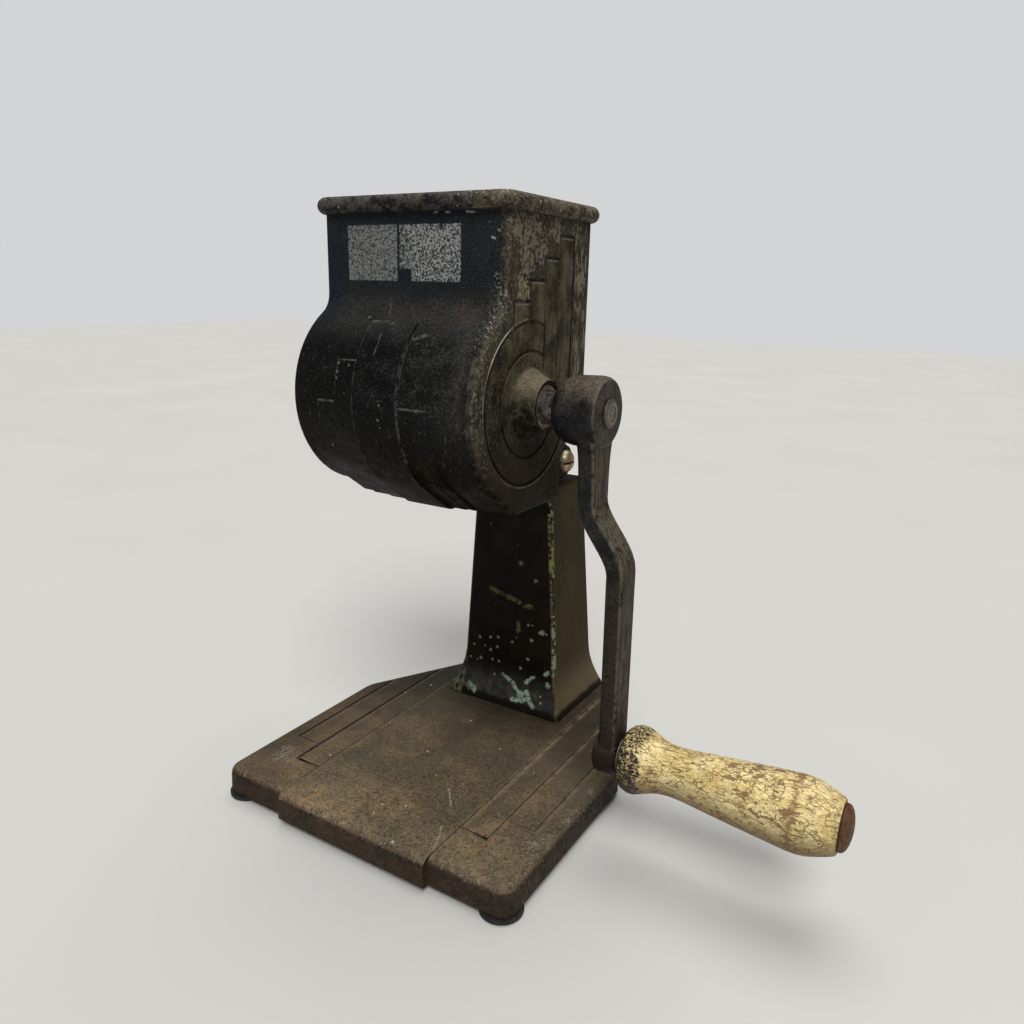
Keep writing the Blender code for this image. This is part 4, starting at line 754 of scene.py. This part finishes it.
def crank_material():
    s = Shade("crank_dark_steel")
    fine = s.noise(0.8, 3, 0.65)
    patchy = s.noise(8, 4, 0.62, 1)
    outer = s.ramp(s.nx, 0.45, 0.85)
    stria = s.noise(1.3, 4, 0.68, 2, s.stretched(1, 1, 0.07))
    on_hub = s.ramp(s.z, 174, 180)
    steel = s.mix(s.ramp(patchy, 0.35, 0.65), (0.0062, 0.0068, 0.0085), (0.025, 0.024, 0.0235))
    steel = s.mix(s.ramp(s.z, 150, 90, 0, 0.6), steel, (0.03, 0.022, 0.013))
    dusty = s.ramp(s.add(s.nz, s.mul(s.sub(patchy, 0.5), 1.2)), 0.2, 0.9)
    steel = s.over(steel, (0.068, 0.06, 0.046), dusty, 0.8)
    steel = s.grained(steel, fine, 0.4, 1.6)
    brown = s.mix(s.ramp(stria, 0.38, 0.62), (0.011, 0.007, 0.004), (0.08, 0.059, 0.036))
    brown = s.mix(s.ramp(s.z, 175, 100, 0, 0.5), brown,
                  s.mix(s.ramp(stria, 0.4, 0.6), (0.009, 0.005, 0.002), (0.046, 0.026, 0.009)))
    face = s.mix(on_hub, brown,
                 s.mix(s.ramp(patchy, 0.35, 0.65), (0.016, 0.014, 0.011), (0.06, 0.051, 0.037)))
    face = s.grained(face, fine, 0.4, 1.6)
    colour = s.mix(outer, steel, face)
    low = s.ramp(s.z, 62, 44)
    colour = s.over(colour, (0.013, 0.007, 0.004), low, 0.75)
    blotch = s.mul(s.patches(0.54, 0.62, 5, 4, 0.7, 3, s.stretched(1, 1, 0.5)), outer, s.ramp(s.z, 120, 80))
    colour = s.over(colour, (0.013, 0.009, 0.006), blotch, 0.7)
    rust = s.mul(s.patches(0.59, 0.67, 2.2, 4, 0.7, 4), s.ramp(s.z, 140, 60, 0.35, 1))
    colour = s.over(colour, (0.1, 0.054, 0.026), rust, 0.38)
    crown = s.mul(on_hub, s.ramp(s.nz, 0.3, 0.9), s.patches(0.5, 0.6, 2.5, 3, 0.7, 5))
    colour = s.over(colour, (0.15, 0.085, 0.045), crown, 0.6)
    # Painted highlight: a pale line along the edges between the outer face and the sides.
    edge = s.mul(s.band(s.nx, 0.5, 0.9, 0.12), s.patches(0.34, 0.54, 2.5, 3, 0.6, 6), s.inv(low))
    colour = s.over(colour, (0.125, 0.112, 0.086), edge, 0.6)
    flecks = s.patches(0.66, 0.71, 0.8, 3, 0.7, 7)
    colour = s.over(colour, (0.18, 0.165, 0.13), flecks, 0.35)
    rough = s.ramp(patchy, 0.3, 0.7, 0.4, 0.6)
    height = s.add(s.mul(fine, 0.7), s.mul(stria, s.mul(outer, 1.5)), s.mul(s.noise(4, 2, 0.5, 8), 0.9),
                   s.mul(rust, 0.4))
    return s.finish(colour, rough, 0.08, height, 0.3, 0.45, spec=0.12)


def steel_material(name, bright, dark, rough=0.4, metal=0.85):
    s = Shade(name)
    patchy = s.noise(3.5, 4, 0.6)
    fine = s.noise(0.6, 3, 0.6, 1)
    colour = s.mix(s.ramp(patchy, 0.35, 0.65), bright, dark)
    colour = s.grained(colour, fine, 0.85, 1.15)
    return s.finish(colour, s.ramp(patchy, 0.3, 0.7, rough - 0.08, rough + 0.15), metal, fine, 0.04, 0.2)


def shaft_material():
    s = Shade("shaft_steel")
    tip = s.ramp(s.x, 82.5, 83)
    patchy = s.noise(2.2, 4, 0.65)
    body = s.mix(s.ramp(patchy, 0.4, 0.6), (0.12, 0.105, 0.09), (0.34, 0.335, 0.33))
    head = s.mix(s.ramp(patchy, 0.35, 0.65), (0.09, 0.076, 0.055), (0.235, 0.208, 0.16))
    radius = s.from_shaft()[2]
    rings = s.top(s.near(radius, 3, 0.35, 0.35), s.near(radius, 1.4, 0.25, 0.3), s.ramp(radius, 3.9, 4.6))
    head = s.over(head, (0.05, 0.04, 0.028), rings, 0.7)
    colour = s.mix(tip, body, head)
    colour = s.grained(colour, s.noise(0.5, 2, 0.6, 1), 0.8, 1.2)
    metal = s.blend(tip, 0.9, 0.4)
    return s.finish(colour, s.blend(tip, 0.3, 0.5), metal, s.noise(0.7, 3, 0.6, 2), 0.08, 0.25)


def crazing(s):
    """Cracks, whose coordinates run along and round the grip, so that they follow the turned shape."""
    off_y = s.sub(s.y, GRIP_Y)
    turn = s.math("ARCTAN2", s.off_z, off_y)
    across = s.mul(s.math("COSINE", turn), GRIP_WALL), s.mul(s.math("SINE", turn), GRIP_WALL)
    s.skin = s.vec(s.mul(s.x, 0.62), *across)
    lengthwise = s.vec(s.mul(s.x, 0.3), *across)
    plates = s.cell_edges(2.5, s.warped(1.1, 2, 1, s.skin))
    long_plates = s.cell_edges(2.2, s.warped(0.9, 1.6, 2, lengthwise))
    opened = s.patches(0.38, 0.6, 5, 3, 0.65, 3)
    crack = s.mul(s.ramp(plates, 0.075, 0.025), s.ramp(opened, 0, 1, 0.3, 0.95))
    long_crack = s.mul(s.ramp(long_plates, 0.075, 0.025),
                       s.ramp(s.noise(6, 3, 0.65, 4), 0.42, 0.6, 0.2, 0.95))
    hair = s.mul(s.ramp(s.cell_edges(1.2, s.warped(0.6, 1, 5, s.skin)), 0.08, 0),
                 s.ramp(s.noise(4, 3, 0.6, 6), 0.44, 0.62, 0, 0.5))
    return s.top(crack, long_crack, hair)


def cream_paint(s):
    """Cream paint, dirty in patches, with painted shade underneath."""
    yellow = s.mix(s.patches(0.35, 0.65, 10, 3, 0.5, 7), (0.68, 0.52, 0.205), (0.82, 0.675, 0.335))
    dirt = s.noise(3, 4, 0.68, 8)
    cream = s.mix(s.ramp(dirt, 0.5, 0.66, 0, 0.55), yellow, (0.44, 0.32, 0.145))
    # Painted shade: brown-dark on the grip's underside.
    cream = s.mix(s.ramp(s.off_z, 5, -9, 0, 0.88), cream, (0.235, 0.16, 0.068))
    cream = s.grained(cream, s.noise(0.7, 2.5, 0.65, 9), 0.82, 1.12)
    return cream


def paint_gone(s):
    """Where the paint has gone and the wood shows."""
    wob = s.warped(2.4, 3, 11)
    bare_at = [(112.5, -34, 44.8, 1), (115.6, -33, 44.4, 0.8), (146, -30.8, 54.8, 0.8),
               (149.4, -31.7, 54.4, 0.8), (147, -22.5, 58.5, 1.2), (152.5, -21.5, 59, 1.2),
               (162.5, -21.7, 59.7, 1.2), (169, -20.8, 60.3, 1.3), (170.2, -37.2, 46, 1.2),
               (170, -35, 52, 1.1), (164.4, -28.8, 58.3, 0.9), (155, -27.8, 57.8, 0.8), (125, -12, 40, 1.2),
               (140, -14, 36, 1.4), (160, -8, 42, 1.2), (175, -10, 38, 1.1)]
    bare = s.ramp(s.add(s.noise(2.4, 3.5, 0.7, 12, s.stretched(0.45, 1, 1)),
                        s.mul(s.dots(bare_at, 3.6, wob, 1.2), 0.15)), 0.62, 0.65)
    chips = s.patches(0.66, 0.68, 1.6, 4, 0.7, 13, s.stretched(0.6, 1, 1))
    ring = s.mul(s.near(s.add(s.x, s.wobble(3.5, 4, 3, 0.6, 14)), 170, 0.9, 0.9),
                 s.patches(0.4, 0.52, 1.8, 3, 0.65, 15))
    return s.top(bare, s.mul(chips, 0.8), s.mul(ring, 0.85))


def collar_black(s):
    """Speckled black paint left on the collar, thinner on top, where the cream shows as a painted highlight.
    """
    edge = s.add(s.x, s.wobble(9, 3.2, 3, 0.6, 16))
    collar = s.ramp(edge, 108.6, 107.4)
    scrawl = s.ramp(s.cell_edges(1.7, s.warped(1.6, 1.6, 17, s.skin)), 0.11, 0.05)
    # Painted highlight: the black thins out, and the cream cracks thicken, towards the top of the collar.
    mottle = s.ramp(s.noise(1.6, 3.5, 0.72, 18), s.ramp(s.off_z, 4, 12, 0.3, 0.4),
                    s.ramp(s.off_z, 4, 12, 0.36, 0.5))
    rim = s.ramp(s.x, 99.9, 98.8)
    scrawl = s.mul(scrawl, s.patches(0.34, 0.52, 3, 3, 0.65, 21), s.ramp(s.off_z, -14, 6, 0.45, 1))
    return s.mul(collar, s.top(s.mul(mottle, s.inv(s.mul(scrawl, 0.9))), s.mul(rim, 0.9)))


def grip_material():
    s = Shade("grip_crazed_cream")
    s.off_z = s.sub(s.z, GRIP_Z)
    cracks, gone, black = crazing(s), paint_gone(s), collar_black(s)
    wood = s.mix(s.noise(1.5, 3, 0.6, 10, s.stretched(0.12, 1, 1)), (0.115, 0.058, 0.027),
                 (0.255, 0.145, 0.07))
    colour = s.mix(s.mul(cracks, 0.85), cream_paint(s), (0.125, 0.074, 0.033))
    colour = s.over(colour, wood, gone, 0.9)
    colour = s.mix(black, colour, (0.02, 0.017, 0.013))
    end = s.mul(s.ramp(s.x, 181.5, 185.5), s.patches(0.42, 0.58, 2, 3, 0.65, 19))
    colour = s.over(colour, (0.24, 0.155, 0.08), end, 0.5)
    inner = s.top(s.ramp(s.x, 186.4, 186.55), s.ramp(s.x, 97.7, 97.55))
    colour = s.over(colour, (0.1, 0.065, 0.035), inner, 0.75)
    rough = s.blend(s.top(cracks, gone), 0.46, 0.72)
    height = s.add(s.inv(s.top(cracks, gone)), s.mul(s.noise(1, 2, 0.5, 20), 0.25), s.mul(black, 0.3))
    return s.finish(colour, rough, 0, height, 0.2, 0.2, spec=0.3)


def cap_material():
    s = Shade("cap_dark_brown")
    patchy = s.noise(4, 4, 0.6)
    colour = s.mix(s.ramp(patchy, 0.35, 0.65), (0.05, 0.02, 0.008), (0.095, 0.044, 0.02))
    specks = s.patches(0.63, 0.68, 0.8, 1.5, 0.6, 1)
    colour = s.over(colour, (0.3, 0.22, 0.14), specks, 0.6)
    return s.finish(colour, s.ramp(patchy, 0.3, 0.7, 0.5, 0.66), 0, s.noise(0.9, 3, 0.6, 2), 0.1, 0.2,
                    spec=0.22)


def brass_material():
    s = Shade("bolt_dull_brass")
    patchy = s.noise(3, 4, 0.6)
    colour = s.mix(s.ramp(patchy, 0.4, 0.62), (0.4, 0.32, 0.2), (0.17, 0.125, 0.07))
    slot = s.near(s.add(s.z, s.mul(s.y, -0.07)), 147.3, 0.9, 0.4)
    colour = s.over(colour, (0.05, 0.035, 0.02), slot, s.ramp(s.x, 22.6, 22.2), 0.6)
    return s.finish(colour, s.ramp(patchy, 0.3, 0.7, 0.34, 0.55), 0.75, s.noise(0.7, 2, 0.5, 1), 0.06, 0.25)


def bush_material():
    s = Shade("bush_bronze")
    patchy = s.noise(2, 4, 0.65)
    colour = s.mix(s.ramp(patchy, 0.4, 0.62), (0.11, 0.068, 0.042), (0.23, 0.18, 0.135))
    return s.finish(colour, 0.5, 0.5, patchy, 0.1, 0.2)


def rubber_material():
    s = Shade("foot_rubber")
    patchy = s.noise(2.5, 4, 0.6)
    colour = s.mix(s.ramp(patchy, 0.4, 0.7), (0.006, 0.006, 0.006), (0.018, 0.016, 0.014))
    return s.finish(colour, 0.78, 0, s.noise(0.8, 2, 0.6, 1), 0.08, 0.3)


def inner_iron_material():
    s = Shade("grinding_iron")
    patchy = s.noise(5, 4, 0.6)
    fine = s.noise(0.9, 3, 0.65, 1)
    colour = s.mix(s.ramp(patchy, 0.35, 0.65), (0.07, 0.06, 0.05), (0.145, 0.128, 0.108))
    colour = s.over(colour, (0.15, 0.08, 0.04), s.patches(0.56, 0.66, 2.5, 4, 0.7, 2), 0.5)
    return s.finish(colour, s.ramp(fine, 0.3, 0.7, 0.45, 0.68), 0.5, fine, 0.15, 0.3)


# ---------------------------------------------------------------- pieces


def refined(node, name, material, body, slot):
    """A copy of a CAD node with its triangles welded and its curved faces shaded smooth."""
    source = frame["nodes"][node]
    bm = bmesh.new()
    bm.from_mesh(source.data)
    bmesh.ops.remove_doubles(bm, verts=bm.verts, dist=WELD)
    bmesh.ops.dissolve_limit(bm, angle_limit=math.radians(FLAT_ANGLE), verts=bm.verts, edges=bm.edges,
                             delimit=set())
    mesh = bpy.data.meshes.new(name)
    bm.to_mesh(mesh)
    bm.free()
    mesh.materials.clear()
    mesh.materials.append(material)
    mesh.shade_smooth()
    mesh.set_sharp_from_angle(angle=math.radians(SHARP_ANGLE))
    made = bpy.data.objects.new(name, mesh)
    bpy.context.scene.collection.objects.link(made)
    weights = made.modifiers.new("weighted_normals", "WEIGHTED_NORMAL")
    weights.keep_sharp = True
    weights.weight = NORMAL_WEIGHT
    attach(made, body)
    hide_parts(node)
    return made


def make_floor():
    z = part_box("rubber_foot_front_left")[0].z
    corners = [(x * FLOOR_HALF, y * FLOOR_HALF, z) for x, y in ((-1, -1), (1, -1), (1, 1), (-1, 1))]
    mesh = bpy.data.meshes.new("floor")
    mesh.from_pydata(corners, [], [range(len(corners))])
    s = Shade("floor_pale")
    soft = s.noise(180.0, 2.0, 0.5)
    colour = s.mix(soft, (0.5, 0.495, 0.48), (0.54, 0.535, 0.52))
    mesh.materials.append(s.finish(colour, 0.75, edge=0.0))
    floor = bpy.data.objects.new("floor", mesh)
    bpy.context.scene.collection.objects.link(floor)


def make_lights():
    for name, place, spread, strength in LIGHTS:
        data = bpy.data.lights.new(name, "SUN")
        data.angle = math.radians(spread)
        data.energy = strength
        data.color = LIGHT_COLOUR
        lamp = bpy.data.objects.new(name, data)
        lamp.location = place
        lamp.rotation_mode = "QUATERNION"
        lamp.rotation_quaternion = (Vector(LIGHT_TARGET) - Vector(place)).to_track_quat("-Z", "Y")
        bpy.context.scene.collection.objects.link(lamp)


def make_world():
    """An even glow, brighter where the camera sees it than where it lights the object."""
    world = bpy.data.worlds.new("studio")
    world.use_nodes = True
    background = world.node_tree.nodes["Background"]
    background.inputs["Color"].default_value = WORLD_COLOUR
    rays = world.node_tree.nodes.new("ShaderNodeLightPath")
    level = world.node_tree.nodes.new("ShaderNodeMapRange")
    level.inputs["To Min"].default_value = WORLD_LIGHT
    level.inputs["To Max"].default_value = WORLD_SEEN
    world.node_tree.links.new(rays.outputs["Is Camera Ray"], level.inputs["Value"])
    world.node_tree.links.new(level.outputs[0], background.inputs["Strength"])
    bpy.context.scene.world = world


def make_camera():
    azimuth, elevation = math.radians(CAMERA_AZIMUTH), math.radians(CAMERA_ELEVATION)
    level = math.cos(elevation)
    back = Vector((math.sin(azimuth) * level, -math.cos(azimuth) * level, math.sin(elevation)))
    right = (-back).cross(Vector((0, 0, 1))).normalized()
    up = right.cross(-back)
    turned = Matrix((right, up, back)).transposed() @ Matrix.Rotation(math.radians(CAMERA_ROLL), 3, "Z")
    data = bpy.data.cameras.new("camera")
    data.sensor_width = SENSOR_MM
    data.lens = CAMERA_FOCAL_PX / IMAGE_PX * SENSOR_MM
    data.clip_start = CAMERA_NEAREST
    camera = bpy.data.objects.new("camera", data)
    camera.matrix_world = Matrix.Translation(Vector(CAMERA_TARGET) + back * CAMERA_DISTANCE) @ turned.to_4x4()
    bpy.context.scene.collection.objects.link(camera)
    bpy.context.scene.camera = camera


def dress():
    """Gives each CAD node its material and its refined copy."""
    housing, inner, bush = housing_material(), inner_iron_material(), bush_material()
    rubber = rubber_material()
    plain = steel_material("plain_steel", (0.42, 0.4, 0.37), (0.22, 0.19, 0.16))
    looks = {
        "base_plate": base_material(), "pedestal": pedestal_material(), "clamp_bolt": brass_material(),
        "grinder_housing": housing, "end_cover": housing, "breaker_plate": inner, "grinding_drum": inner,
        "left_bush": bush, "right_bush": bush, "drive_shaft": shaft_material(), "crank_arm": crank_material(),
        "wooden_grip": grip_material(), "grip_end_cap": cap_material(),
    }
    record = frame["record"]
    slots = {row["node"]: row["material_slot"] for row in record["subparts"]}
    for body, nodes in record["behaviour"]["bodies"].items():
        for node in nodes:
            material = looks.get(node, rubber if node.startswith("rubber") else plain)
            refined(node, node + "_look", material, body, slots[node])


def main():
    make_camera()
    make_lights()
    make_world()
    make_floor()
    dress()
    bpy.context.scene.view_settings.view_transform = "Standard"
    bpy.context.view_layer.update()


main()
